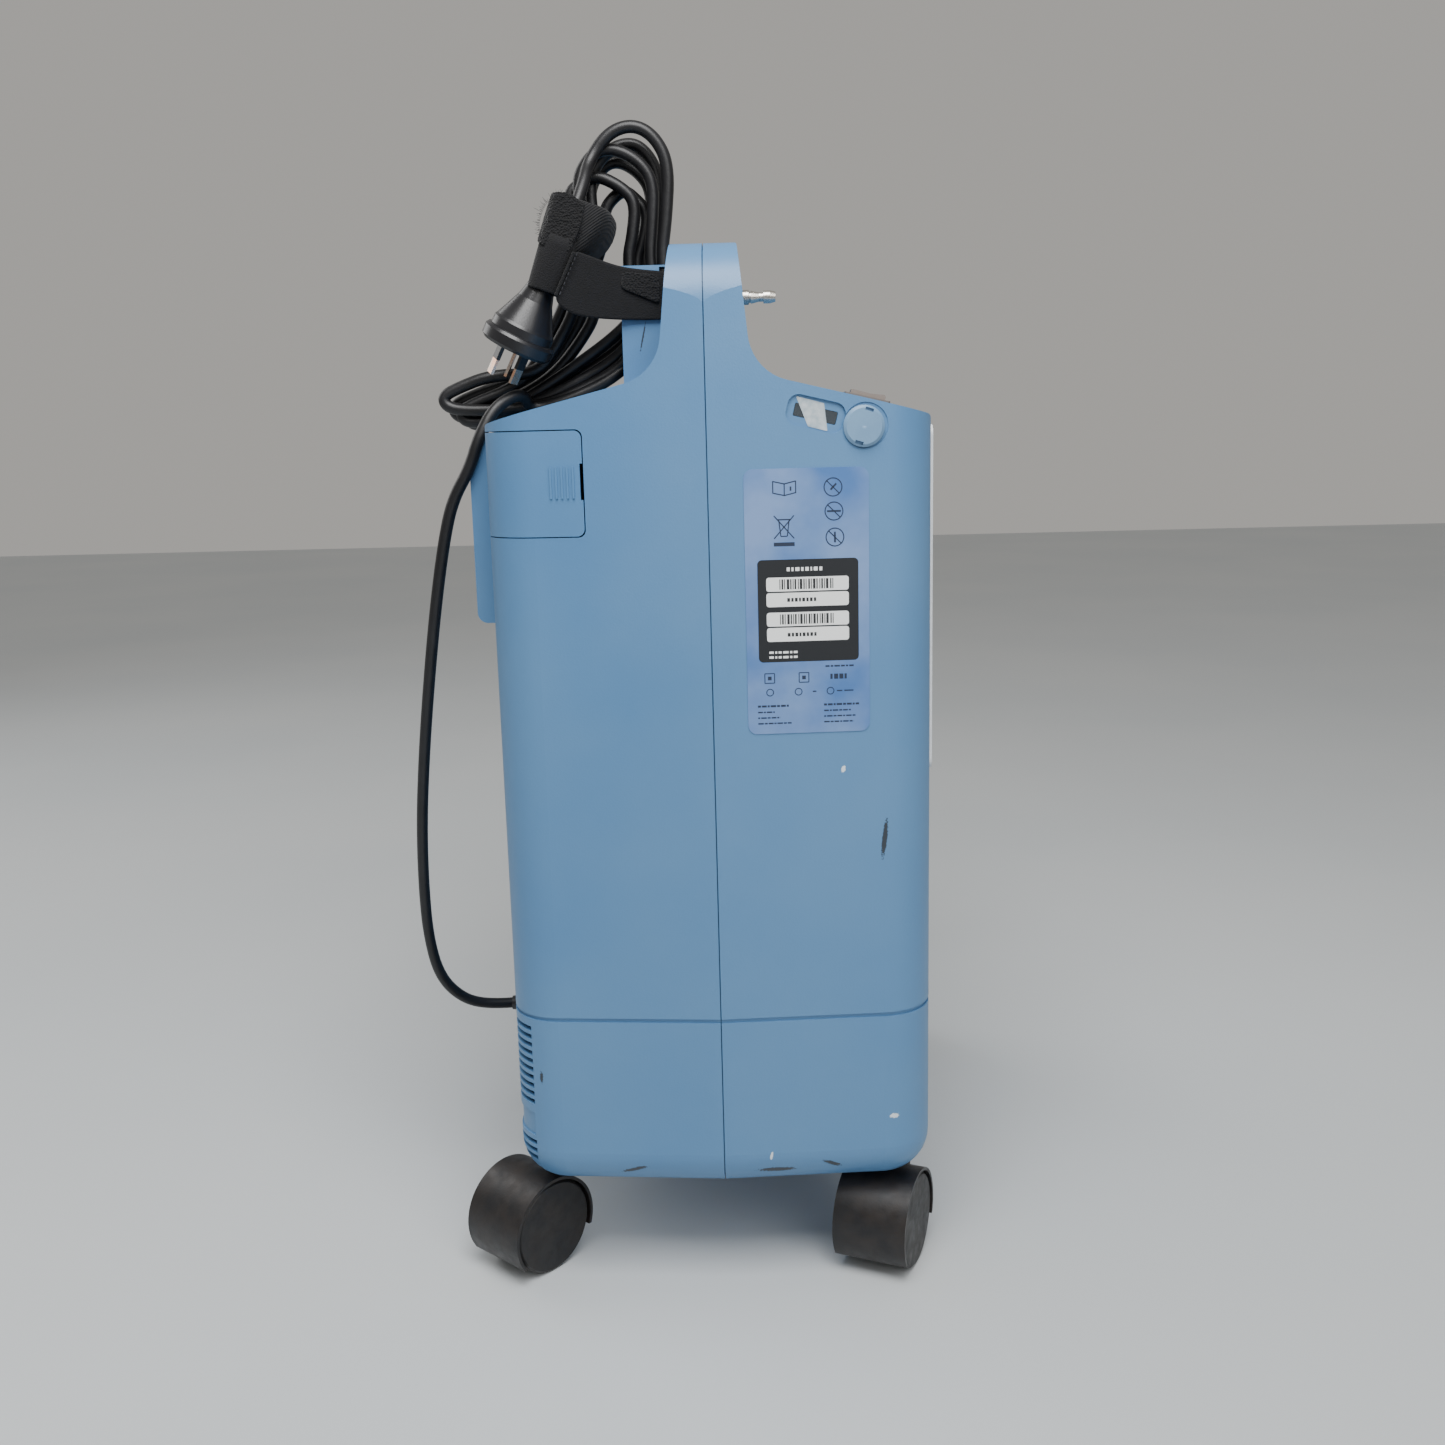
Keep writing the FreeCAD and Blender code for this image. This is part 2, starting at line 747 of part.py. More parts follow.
overlay = round_box((-140, -123, 395), (-62, -122.4, 470), 4, "y")
node("control_panel", shaped("control_panel", overlay))
lamps = [
    rod("lamp_%d" % i, (-128, -123.8, z), 2.5, 0.8, "y") for i, z in enumerate((452, 436, 420))
]
node("status_lights", join("status_lights", lamps))

# ---------------------------------------------------------------- left side: label, meter, cap
LABEL = on_left_side(mm("label_y"), mm("label_z"))
label_plate = plate(mm("label_long"), mm("label_tall"), 5, 0.02, 0.42)
node("rating_label", shaped("rating_label", label_plate, LABEL))
meter_case = plate(22.6, 6.4, 0.6, -16, -2.2).fuse(plate(28, 14, 2, -18, -4.2))
node("hour_meter", shaped("hour_meter", meter_case, PILL))
node("hour_meter_window", shaped("hour_meter_window", plate(22.6, 6.4, 0.6, -2.15, -1.65), PILL))
tape_corners = [(-12, 6.6), (3.2, 6.2), (8.2, -7.3), (-2.3, -7.1)]
tape = prism(rounded_outline([(x, y, 0.4) for x, y in tape_corners]), -1.55, -1.35)
node("tape_strip", shaped("tape_strip", tape, PILL))
cap_head = turned_outline(
    [(0, 0.05), (mm("cap_radius"), 0.05), (mm("cap_radius"), 1.4), (9.3, 2.6), (0, 2.8)], (0, 0, 0), "z"
)
cap_shank = Part.makeCylinder(8, 6, Vector(0, 0, -5.5))
pry_slots = [Part.makeBox(4.4, 1.7, 4, Vector(-2.2, y, 0.8)) for y in (8, -9.7)]
cap_shape = cap_head.fuse(cap_shank)
for slot in pry_slots:
    slot.rotate(Vector(), Vector(0, 0, 1), -18)
    cap_shape = cap_shape.cut(slot)
node("service_cap", shaped("service_cap", cap_shape, CAP))

# ---------------------------------------------------------------- power switch
frame_plate = plate(mm("switch_wide"), mm("switch_long"), 1.5, 0.05, 2).fuse(
    plate(switch_hole[0] - 0.4, switch_hole[1] - 0.4, 0.8, -14, 0.1)
)
well = plate(mm("switch_wide") - 4.6, mm("switch_long") - 4.6, 0.6, -8, 5)
node("switch_frame", shaped("switch_frame", frame_plate.cut(well), SWITCH))
# The rocker is a shallow V in side view, turned about a pin across its middle.
rocker_side = rounded_outline([(-9.6, -2.5, 0), (9.4, -2.5, 0), (9.4, 4.3, 0.6), (-1, 3.9, 0), (-9.6, 4.9, 1.2)])
rocker_half = mm("switch_wide") / 2 - 2.7
rocker = prism(rocker_side, -rocker_half, rocker_half, ONTO_YZ)
node("power_rocker", shaped("power_rocker", rocker, SWITCH))

# ---------------------------------------------------------------- oxygen outlet
NECK_FACE = mm("neck_half_top") + (TOP - mm("barb_z")) * (mm("neck_half_foot") - mm("neck_half_top")) / (
    TOP - mm("neck_foot")
)
barb_outline = [
    (1.6, -12),
    (3.6, -12),
    (3.6, 0),
    (4, 0),
    (4, 3.2),
    (3, 3.6),
    (3, 4.4),
    (mm("barb_radius"), 4.5),
    (2.5, 8.8),
    (2.5, 11.3),
    (mm("barb_radius"), 11.4),
    (mm("barb_radius"), 15),
    (2.7, mm("barb_length")),
    (1.6, mm("barb_length")),
]
barb = turned_outline(barb_outline, (0, 0, 0), "z")
barb_at = Placement(Vector(mm("barb_x"), -NECK_FACE - 0.6, mm("barb_z")), Rotation(Vector(1, 0, 0), 90))
node("outlet_barb", shaped("outlet_barb", barb, barb_at))

# ---------------------------------------------------------------- chassis and casters
chassis = [
    block(
        "chassis_plate",
        ("-chassis_long / 2", "-chassis_deep / 2", "chassis_low"),
        ("chassis_long", "chassis_deep", "chassis_thick"),
    )
]
sockets = []
for i, (sx, sy) in enumerate(((-1, -1), (1, -1), (-1, 1), (1, 1))):
    at = ("%d * caster_x" % sx, "%d * caster_y" % sy)
    chassis.append(rod("socket_%d" % i, (*at, "underside + 1"), "socket_radius", "socket_top - underside - 1"))
    sockets.append(rod("bore_%d" % i, (*at, "underside"), "stem_radius + running_gap", "socket_top - underside - 3.5"))
node("base_chassis", carve("base_chassis", join("chassis_blank", chassis), sockets))


def caster(name, sx, sy, heading):
    """A twin-wheel caster: a swivelling hood and its pair of wheels on one hub."""
    at = ("%d * caster_x" % sx, "%d * caster_y" % sy, 0)
    turn = Rotation(Vector(0, 0, 1), heading)
    half = "caster_width / 2"
    rim = rod(name + "_rim", ("trail", "-" + half, "wheel_radius"), "hood_radius", "caster_width", "y")
    boss = rod(name + "_boss", (0, 0, "wheel_radius + 6"), 9, 24)
    below = block(name + "_below", ("trail - 50", -40, -20), (52, 80, "wheel_radius + 10"))
    front = block(name + "_front", ("trail", -40, -20), (60, 80, 31))
    space = rod(
        name + "_space", ("trail", -40, "wheel_radius"), "wheel_radius + hood_gap", 80, "y"
    )
    shell = carve(name + "_shell", join(name + "_blank", [rim, boss]), [space, below, front])
    web = rod(name + "_web", ("trail", "-web_thick / 2", "wheel_radius"), "wheel_radius + 1", "web_thick", "y")
    web = carve(name + "_web_cut", web, [block(name + "_low", ("trail - 40", -20, -20), (80, 40, 32))])
    axle = rod(
        name + "_axle", ("trail", "-" + half + " + 3", "wheel_radius"), "axle_radius", "caster_width - 6", "y"
    )
    stem = rod(name + "_stem", (0, 0, "wheel_radius + 20"), "stem_radius", "socket_top - wheel_radius - 24")
    hood = place(join(name + "_hood", [shell, web, axle, stem]), at, turn)
    node("caster_hood_" + name, hood)
    # Each wheel is a plain disc with its outer edge broken; blind bores keep the axle's ends out of sight.
    tyres = []
    for side, start, edge, first, last in (
        (0, "web_thick / 2 + 0.6", "web_thick / 2 + wheel_thick - 1", "wheel_radius", "wheel_radius - 1.6"),
        (1, "-web_thick / 2 + 1 - wheel_thick", "-web_thick / 2 - 0.6 - wheel_thick", "wheel_radius - 1.6",
         "wheel_radius"),
    ):
        centre = ("trail", start, "wheel_radius")
        tyres.append(rod("%s_tyre_%d" % (name, side), centre, "wheel_radius", "wheel_thick - 1.6", "y"))
        rim_at = ("trail", edge, "wheel_radius")
        tyres.append(cone("%s_edge_%d" % (name, side), rim_at, first, last, 1.6, "y"))
    bore = rod(name + "_bore", ("trail", "2.7 - " + half, "wheel_radius"), "axle_radius + running_gap",
               "caster_width - 5.4", "y")
    wheels = carve(name + "_wheels", join(name + "_pair", tyres), [bore])
    node("caster_wheels_" + name, place(wheels, at, turn))


caster("front_left", -1, -1, 157)
caster("rear_left", -1, 1, 140)
caster("front_right", 1, -1, -45)
caster("rear_right", 1, 1, -27)

# ---------------------------------------------------------------- compressor in its sound box
motor_can = rod(
    "motor_can", ("motor_x - motor_length / 2", 0, "motor_z"), "motor_radius", "motor_length", "x"
)
motor_foot = block("motor_foot", ("motor_x - 60", -40, 104.2), (120, 80, 20))
motor_bell = rod(
    "motor_bell", ("motor_x - motor_length / 2 - 2", 0, "motor_z"), "motor_radius - 8", "motor_length + 4", "x"
)
node("compressor_motor", join("compressor_motor", [motor_can, motor_foot, motor_bell]))
heads = []
for i, left in enumerate(("motor_x - motor_length / 2 - 30", "motor_x + motor_length / 2 + 2.4")):
    heads.append(block("crankcase_%d" % i, (left, -28, 108), (27.4, 56, 84)))
    heads.append(rod("cylinder_%d" % i, (left + " + 13.7", 0, 192), 13.6, 22))
    for fin in range(4):
        heads.append(rod("fin_%d_%d" % (i, fin), (left + " + 13.7", 0, 195 + 5 * fin), 17, 1.6))
    heads.append(block("head_%d" % i, (left, -16, 213), (27.4, 32, 10)))
node("compressor_heads", join("compressor_heads", heads))
mounts = []
for i, (x, y) in enumerate(((-30, -30), (70, -30), (-30, 30), (70, 30))):
    mounts.append(cone("mount_low_%d" % i, (x, y, 80.1), 11, 7.5, 12))
    mounts.append(cone("mount_high_%d" % i, (x, y, 92), 7.5, 11, 12.1))
node("compressor_mounts", join("compressor_mounts", mounts))
box_out = block("box_out", ("box_left", "-box_deep / 2", 80.3), ("box_long", "box_deep", "box_top - 80.3"))
box_in = block(
    "box_in",
    ("box_left + box_wall", "-box_deep / 2 + box_wall", 70),
    ("box_long - 2 * box_wall", "box_deep - 2 * box_wall", "box_top - box_wall - 70"),
)
box_vent = rod("box_vent", ("motor_x", 0, 200), "fan_bore", 60)
node("sound_box", carve("sound_box", box_out, [box_in, box_vent]))
fan_blank = block(
    "fan_blank", ("motor_x - fan_frame / 2", "-fan_frame / 2", "box_top + 0.3"), ("fan_frame", "fan_frame", "fan_thick")
)
fan_hole = rod("fan_hole", ("motor_x", 0, "box_top - 10"), "fan_bore", 60)
fan_bars = [
    block("fan_bar_x", ("motor_x - fan_bore", -3, "box_top + 0.3"), ("2 * fan_bore", 6, 2)),
    block("fan_bar_y", ("motor_x - 3", "-fan_bore", "box_top + 0.3"), (6, "2 * fan_bore", 2)),
    rod("fan_seat", ("motor_x", 0, "box_top + 0.3"), 14, 3),
]
node("cooling_fan_frame", join("cooling_fan_frame", [carve("fan_ring", fan_blank, [fan_hole])] + fan_bars))
rotor = doc.addObject("PartDesign::Body", "fan_rotor")
hub_sketch = circle_sketch(rotor, "hub_outline", 15)
pad(rotor, "hub", hub_sketch, 16)
blade_sketch = rotor.newObject("Sketcher::SketchObject", "blade_outline")
blade_sketch.AttachmentSupport = [(origin_plane(rotor, "XY_Plane"), "")]
blade_sketch.MapMode = "FlatFace"
blade_corners = [Vector(13, -4, 0), Vector(40, 6, 0), Vector(41, 9, 0), Vector(13, -1, 0)]
for first, second in zip(blade_corners, blade_corners[1:] + blade_corners[:1]):
    blade_sketch.addGeometry(Part.LineSegment(first, second), False)
blade = pad(rotor, "blade", blade_sketch, 15)
polar(rotor, "blades", blade, hub_sketch, 7)
rotor.Placement = Placement(Vector(mm("motor_x"), 0, mm("box_top") + 4), Rotation())
node("fan_rotor", rotor)
turns = [ring("cooling_turn_%d" % i, ("motor_x", 0, 272 + 8 * i), 38, 3.2) for i in range(3)]
clips = [
    block("cooling_clip_%d" % i, (x, -2, 263), (4, 4, 31)) for i, x in enumerate((-20, 56))
]
node("heat_exchanger", join("heat_exchanger", turns + clips))

# ---------------------------------------------------------------- gas separation
for name, side in (("sieve_bed_front", "-bed_y"), ("sieve_bed_rear", "bed_y")):
    can = rod(name + "_can", ("bed_x", side, "bed_low"), "bed_radius", "bed_high - bed_low")
    caps = [
        rod(name + "_cap_%d" % i, ("bed_x", side, z), "bed_radius + 2", 12)
        for i, z in enumerate(("bed_low", "bed_high - 12"))
    ]
    node(name, join(name, [can] + caps))
manifold = [block("manifold_block", (-168, -78, 401), (62, 136, 22))]
manifold += [rod("manifold_port_%d" % i, (-150, y, 423), 5, 8) for i, y in enumerate((-70, 50))]
node("valve_manifold", join("valve_manifold", manifold))
valves = []
for i, y in enumerate((-58, -30, -2, 26)):
    valves.append(block("valve_base_%d" % i, (-132, y, 423.1), (24, 20, 8)))
    valves.append(rod("valve_coil_%d" % i, (-120, y + 10, 431), 9, 26))
node("solenoid_valves", join("solenoid_valves", valves))
tank = [
    rod("tank_can", ("tank_x", "tank_y", "tank_low"), "tank_radius", "tank_high - tank_low"),
    cone("tank_dome", ("tank_x", "tank_y", "tank_high"), "tank_radius", 24, 14),
    cone("tank_foot", ("tank_x", "tank_y", "tank_low - 12"), 26, "tank_radius", 12),
]
node("product_tank", join("product_tank", tank))
regulator = [
    rod("regulator_can", (60, -4, 436), 15, 30),
    cone("regulator_bonnet", (60, -4, 466), 13, 8, 14),
    rod("regulator_port", (34, -4, 448), 4, 52, "x"),
]
node("pressure_regulator", join("pressure_regulator", regulator))
sensor = [rod("sensor_can", (0, -60, 430), 14, 30), rod("sensor_port", (0, -84, 444), 3.5, 48, "y")]
node("oxygen_sensor", join("oxygen_sensor", sensor))
hepa = [
    rod("hepa_can", (-62, 84, 345), 20, 40),
    rod("hepa_in", (-62, 84, 335), 5, 60),
]
node("hepa_filter", join("hepa_filter", hepa))
silencer = [
    block("silencer_box", (-70, 60, 250), (56, 48, 60)),
    rod("silencer_port", (-42, 84, 310), 6, 14),
]
node("intake_silencer", join("intake_silencer", silencer))
muffler = [rod("muffler_can", (-138, 101, 104), 12, 54), rod("muffler_port", (-138, 101, 158), 4, 12)]
node("exhaust_muffler", join("exhaust_muffler", muffler))

# ---------------------------------------------------------------- electrics
board = [block("board", (-96, -106, 262), (46, 1.6, 140))]
board += [block("chip_%d" % i, (-90 + 20 * i, -104.5, z), (14, 6, 14)) for i, z in ((0, 280), (1, 330), (0, 370))]
board += [block("sink", (-92, -104.5, 300), (40, 22, 18))]
node("circuit_board", join("circuit_board", board))
node(
    "run_capacitor",
    join(
        "run_capacitor",
        [rod("capacitor_can", (156, 20, 84), 20, 70), block("capacitor_tabs", (150, 14, 154), (12, 2, 8))],
    ),
)
node(
    "alarm_buzzer",
    join(
        "alarm_buzzer",
        [rod("buzzer_can", (-118, -100, 470), 11, 12), block("buzzer_foot", (-133, -103, 470), (30, 6, 2))],
    ),
)

# ---------------------------------------------------------------- hoses inside
HOSE_ROUTES = [
    [(-62, 0, 228), (-62, 20, 246), (-58, 36, 262), (-46, 34, 280), (-32, 20, 288)],
    [(-150, -70, 432), (-140, -74, 450), (-116, -70, 470), (-84, -50, 476), (-56, -30, 470), (-30, -8, 458),
     (0, -3, 449), (32, -4, 448)],
    [(-62, 84, 396), (-72, 80, 416), (-92, 76, 430), (-118, 80, 438), (-131.5, 88, 452)],
    [(0, -34, 444), (-20, -20, 452), (-52, -12, 480), (-84, -8, 500), (-112, -6, 512), (-124, -6, 534),
     (-125, -9, 552)],
]
hoses = [tube_along(route, 3.5, "hose %d" % i) for i, route in enumerate(HOSE_ROUTES)]
node("hoses", shaped("hoses", Part.makeCompound(hoses)))

# ---------------------------------------------------------------- mains lead
relief_at = (mm("relief_x"), HALF_DEPTH - WALL - 4, mm("relief_z"))
relief = turned_outline(
    [(0, 0), (7, 0), (7, 3.6), (5, 3.6), (5, 7.2), (7.5, 7.2), (7.5, 9.6), (6.4, 11), (4.6, 7 + mm("relief_length")),
     (0, 7 + mm("relief_length"))],
    relief_at,
    "y",
)
node("strain_relief", shaped("strain_relief", relief))
LEAD_START = relief_at[1] + 7 + mm("relief_length")
# The lead leaves the strain relief, sags out behind the body, then climbs to the wound coil.
LEAD_ROUTE = [
    (mm("relief_x"), LEAD_START, mm("relief_z")),
    (-40, 159, 118),
    (-48, 175, 126),
    (-57, 187, 145),
    (-66, 190.5, 176),
    (-74, 189.5, 212),
    (-83, 186, 256),
    (-94, 179, 304),
    (-105, 170.5, 352),
    (-114, 162, 396),
    (-120, 154, 432),
    (-123, 147, 456),
    (-125, 135.5, 474),
    (-125, 129.5, 491),
    (-119, 120.5, 508),
    (-110, 105.5, 516),
    (-98, 90, 517.5),
]
node("mains_cord", shaped("mains_cord", tube_along(LEAD_ROUTE, mm("lead_width") / 2, "mains lead")))

# The wound part stands behind the neck, a rounded triangle tied by its strap.
COIL_OUTSIDE = [
    (36, 676, 17),
    (70, 622, 40),
    (104, 574, 40),
    (166, 511, 12),
    (136, 494.5, 12),
    (118, 501.5, 20),
    (42, 520, 8),
    (26, 541, 12),
    (25, 576, 20),
    (16, 606, 30),
    (17, 645, 14),
]
COIL_NEAR, COIL_FAR = -98, -70
COIL_INSIDE = [(46, 608, 5), (122, 527, 4), (44, 552, 7)]
coil = prism(rounded_outline(COIL_OUTSIDE), COIL_NEAR, COIL_FAR, ONTO_YZ).cut(
    prism(rounded_outline(COIL_INSIDE), -120, -60, ONTO_YZ)
)
node("cord_coil", shaped("cord_coil", coil))

# The strap threads the slot in the left cheek and wraps the bundle and the plug's tail.
band_near = Part.makeBox(1.8, 44, 26, Vector(-122.3, 21.8, 553))
band_turn = Part.makeBox(16.2, 2, 26, Vector(-122.3, 21.8, 553))
wrap = plate(42, 50, 6, -134, -66).cut(plate(37.4, 70, 3, -131.6, -68.4))
lean = Rotation(Vector(0, 0, 1), 20)
strap_wrap = put(wrap, Placement(Vector(73, 596, 0), lean))
strap_wrap.Placement = ONTO_YZ.multiply(strap_wrap.Placement)
strap = strap_wrap.fuse(band_near).fuse(band_turn)
node("cord_strap", shaped("cord_strap", strap))

# ---------------------------------------------------------------- mains plug
PLUG_AXIS = Vector(0.12, 0.46, -0.88)
PLUG_AT = Placement(Vector(-119.5, 107.5, 539), Rotation(Vector(0, 0, 1), PLUG_AXIS))
plug_outline = [
    (0, 0), (18.5, 0), (20.3, 1.8), (20.3, 7), (19.2, 8.5), (17.8, 9), (17.5, 13.5), (16.5, 15),
    (10, 29), (8.5, 34), (6, 44), (4.6, 55), (0, 55),
]
plug = turned_outline([(r, -d) for r, d in plug_outline], (0, 0, 0), "z")
node("plug_body", shaped("plug_body", plug, PLUG_AT))
blades = []
for angle, x, y in ((-30, -6.9, -4), (-90, 0, 8), (-60, 8.66, -5)):
    pin = Part.makeBox(1.6, 6.3, 17.5, Vector(-0.8, -3.15, 0.02))
    pin.Placement = Placement(Vector(x, y, 0), Rotation(Vector(0, 0, 1), -angle))
    blades.append(pin)
node("plug_pins", shaped("plug_pins", Part.makeCompound(blades), PLUG_AT))

# ---------------------------------------------------------------- check everything, then write
doc.recompute()
for obj in doc.Objects:
    for trouble in ("Invalid", "Error"):
        if trouble in obj.State:
            raise RuntimeError("%s is %s" % (obj.Name, trouble))
os.makedirs("parts", exist_ok=True)
for name, obj in nodes.items():
    shape = obj.Shape
    if shape.isNull() or not shape.isValid() or not shape.Solids:
        raise RuntimeError("%s has no valid solid" % name)
    shape.exportStep("parts/%s.step" % name)
    box = shape.BoundBox
    print("%-20s solids %2d  volume %9.0f  x %.1f %.1f  y %.1f %.1f  z %.1f %.1f" % (
        name, len(shape.Solids), shape.Volume, box.XMin, box.XMax, box.YMin, box.YMax, box.ZMin, box.ZMax))
print(len(nodes), "sub-parts")
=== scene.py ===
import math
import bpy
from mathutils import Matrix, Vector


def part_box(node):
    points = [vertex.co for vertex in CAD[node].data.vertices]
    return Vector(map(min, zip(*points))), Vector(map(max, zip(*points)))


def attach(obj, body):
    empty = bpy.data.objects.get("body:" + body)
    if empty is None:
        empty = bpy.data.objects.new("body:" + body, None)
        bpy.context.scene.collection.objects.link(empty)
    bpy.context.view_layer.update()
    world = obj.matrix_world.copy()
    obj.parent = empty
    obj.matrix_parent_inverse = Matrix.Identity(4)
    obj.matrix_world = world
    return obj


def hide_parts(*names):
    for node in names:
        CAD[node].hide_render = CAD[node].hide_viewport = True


bl_info = {
    "name": "Oxygen concentrator looks",
    "version": (1, 0, 0),
    "blender": (4, 5, 0),
    "location": "3D View > Sidebar > Concentrator",
    "description": "Finishes, soft parts, printed label and studio for a wheeled oxygen concentrator",
    "category": "Object",
}

import bmesh
import bpy
from mathutils import Matrix, Vector, noise

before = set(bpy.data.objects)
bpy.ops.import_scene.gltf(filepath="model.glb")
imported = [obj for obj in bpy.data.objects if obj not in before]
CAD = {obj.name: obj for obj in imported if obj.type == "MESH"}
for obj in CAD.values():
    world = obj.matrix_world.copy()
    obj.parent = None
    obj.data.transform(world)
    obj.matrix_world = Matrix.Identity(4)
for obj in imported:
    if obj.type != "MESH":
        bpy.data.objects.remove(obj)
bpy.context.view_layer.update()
MM = 0.001


# ------------------------------------------------------------------ sizes and colours
class ConcentratorSizes(bpy.types.PropertyGroup):
    lead_diameter: bpy.props.FloatProperty(
        name="Lead diameter", description="Thickness of the mains lead", default=0.007, unit="LENGTH"
    )
    lead_length: bpy.props.FloatProperty(
        name="Lead length", description="Mains lead from strain relief to plug", default=2.84, unit="LENGTH"
    )
    strap_thickness: bpy.props.FloatProperty(
        name="Strap thickness", description="Thickness of the strap", default=0.0018, unit="LENGTH"
    )
    grain: bpy.props.FloatProperty(
        name="Shell grain", description="Size of the moulded grain", default=0.0011, unit="LENGTH"
    )


class ConcentratorColours(bpy.types.PropertyGroup):
    shell: bpy.props.StringProperty(name="Shell", description="Moulded shell, sRGB hex", default="4475A4")
    label: bpy.props.StringProperty(name="Label", description="Printed label, sRGB hex", default="476FA8")
    black: bpy.props.StringProperty(name="Black", description="Black mouldings, sRGB hex", default="101013")
    switch: bpy.props.StringProperty(name="Switch", description="Switch rocker, sRGB hex", default="7D736C")
    floor: bpy.props.StringProperty(name="Floor", description="Studio floor, sRGB hex", default="C9CDCF")


def sizes():
    return bpy.context.scene.concentrator_sizes


def colours():
    return bpy.context.scene.concentrator_colours


def linear(code, alpha=1.0):
    """An sRGB hex colour as linear red, green, blue and alpha."""
    parts = [int(code[i : i + 2], 16) / 255 for i in (0, 2, 4)]
    return tuple(p / 12.92 if p <= 0.04045 else ((p + 0.055) / 1.055) ** 2.4 for p in parts) + (alpha,)


# ------------------------------------------------------------------ materials
def add(material, kind, inputs=None, **settings):
    """Add one node, with its settings, and each input as a value or as a socket to link from."""
    tree = material.node_tree
    made = tree.nodes.new(kind)
    for key, value in settings.items():
        setattr(made, key, value)
    for key, value in (inputs or {}).items():
        if isinstance(value, bpy.types.NodeSocket):
            tree.links.new(value, made.inputs[key])
        else:
            made.inputs[key].default_value = value
    return made


def finish(name, **values):
    """A new material with one surface shader whose plain values are set on its own sockets."""
    material = bpy.data.materials.new(name)
    material.use_nodes = True
    shader = material.node_tree.nodes["Principled BSDF"]
    for key, value in values.items():
        shader.inputs[key.replace("_", " ")].default_value = value
    place = add(material, "ShaderNodeTexCoord").outputs["Object"]
    return material, shader, place


def wire(material, source, target):
    material.node_tree.links.new(source, target)


def grain_bump(material, shader, place, size, height, detail=2.0):
    """A fine moulded or cast grain, as bump."""
    grain = add(material, "ShaderNodeTexNoise", {"Vector": place, "Scale": 1 / size, "Detail": detail})
    bump = add(
        material, "ShaderNodeBump", {"Height": grain.outputs["Fac"], "Strength": 1.0, "Distance": height}
    )
    wire(material, bump.outputs["Normal"], shader.inputs["Normal"])
    return grain


def varied_colour(material, shader, place, first, second, size, low=0.35, high=0.65):
    """Two close colours in soft patches, mixed into the base colour."""
    patches = add(material, "ShaderNodeTexNoise", {"Vector": place, "Scale": 1 / size, "Detail": 4.0})
    spread = add(
        material,
        "ShaderNodeMapRange",
        {"Value": patches.outputs["Fac"], "From Min": low, "From Max": high},
    )
    mix = mixed(material, spread.outputs["Result"], first, second)
    wire(material, mix, shader.inputs["Base Color"])
    return mix


def mixed(material, factor, first, second):
    """The colour output of a mix of two colours, each a value or a socket."""
    mix = add(material, "ShaderNodeMix", data_type="RGBA")
    for index, value in ((0, factor), (6, first), (7, second)):
        if isinstance(value, bpy.types.NodeSocket):
            wire(material, value, mix.inputs[index])
        else:
            mix.inputs[index].default_value = value
    return mix.outputs[2]


def blemish(material, place, centre, size, tilt=0.0, ragged=0.6):
    """A mask of one scuff: a stretched spot at a place on the object, with a broken edge."""
    spot = add(
        material,
        "ShaderNodeMapping",
        {"Vector": place, "Location": centre, "Rotation": (tilt, 0, 0), "Scale": size},
        vector_type="TEXTURE",
    )
    reach = add(material, "ShaderNodeVectorMath", {0: spot.outputs["Vector"]}, operation="LENGTH")
    torn = add(material, "ShaderNodeTexNoise", {"Vector": place, "Scale": 900.0, "Detail": 3.0})
    sum_up = add(
        material,
        "ShaderNodeMath",
        {0: torn.outputs["Fac"], 1: ragged * 2, 2: reach.outputs["Value"]},
        operation="MULTIPLY_ADD",
    )
    edge = add(
        material,
        "ShaderNodeMapRange",
        {"Value": sum_up.outputs["Value"], "From Min": 1.0 + ragged, "From Max": 0.75 + ragged},
    )
    return edge.outputs["Result"]


def moulded_shell():
    """ABS, injection moulded against a spark-eroded tool: a satin skin with a fine even grain."""
    material, shader, place = finish("moulded ABS, steel blue", Roughness=0.42, IOR=1.53)
    base = linear(colours().shell)
    faded = linear("5C86AC")
    patches = add(material, "ShaderNodeTexNoise", {"Vector": place, "Scale": 9.0, "Detail": 4.0})
    colour = mixed(material, patches.outputs["Fac"], base, faded)
    # Black rubber marks from door frames, and two chips that show the pale plastic.
    for centre, size, tilt in (
        ((-0.185, -0.0925, 0.269), (0.02, 0.0016, 0.012), 0.1),
        ((-0.187, -0.03, 0.073), (0.02, 0.012, 0.0018), 0.0),
        ((-0.187, -0.062, 0.076), (0.02, 0.006, 0.0016), 0.4),
        ((-0.187, 0.052, 0.074), (0.02, 0.009, 0.0014), -0.3),
        ((-0.185, 0.104, 0.13), (0.02, 0.0012, 0.004), 0.0),
        ((-0.12, 0.0355, 0.5435), (0.02, 0.0005, 0.009), 0.22),
    ):
        colour = mixed(material, blemish(material, place, centre, size, tilt), colour, linear("2A323B"))
    for centre, size, tilt in (
        ((-0.186, -0.07, 0.309), (0.02, 0.0012, 0.0022), 0.3),
        ((-0.188, -0.027, 0.083), (0.02, 0.0008, 0.003), 0.2),
        ((-0.186, -0.098, 0.104), (0.02, 0.003, 0.0016), 0.0),
    ):
        colour = mixed(material, blemish(material, place, centre, size, tilt), colour, linear("D5DDE3"))
    wire(material, colour, shader.inputs["Base Color"])
    rub = add(
        material,
        "ShaderNodeMapRange",
        {"Value": patches.outputs["Fac"], "From Min": 0.3, "From Max": 0.7, "To Min": 0.38, "To Max": 0.47},
    )
    wire(material, rub.outputs["Result"], shader.inputs["Roughness"])
    grain_bump(material, shader, place, sizes().grain, 0.00006)
    return material


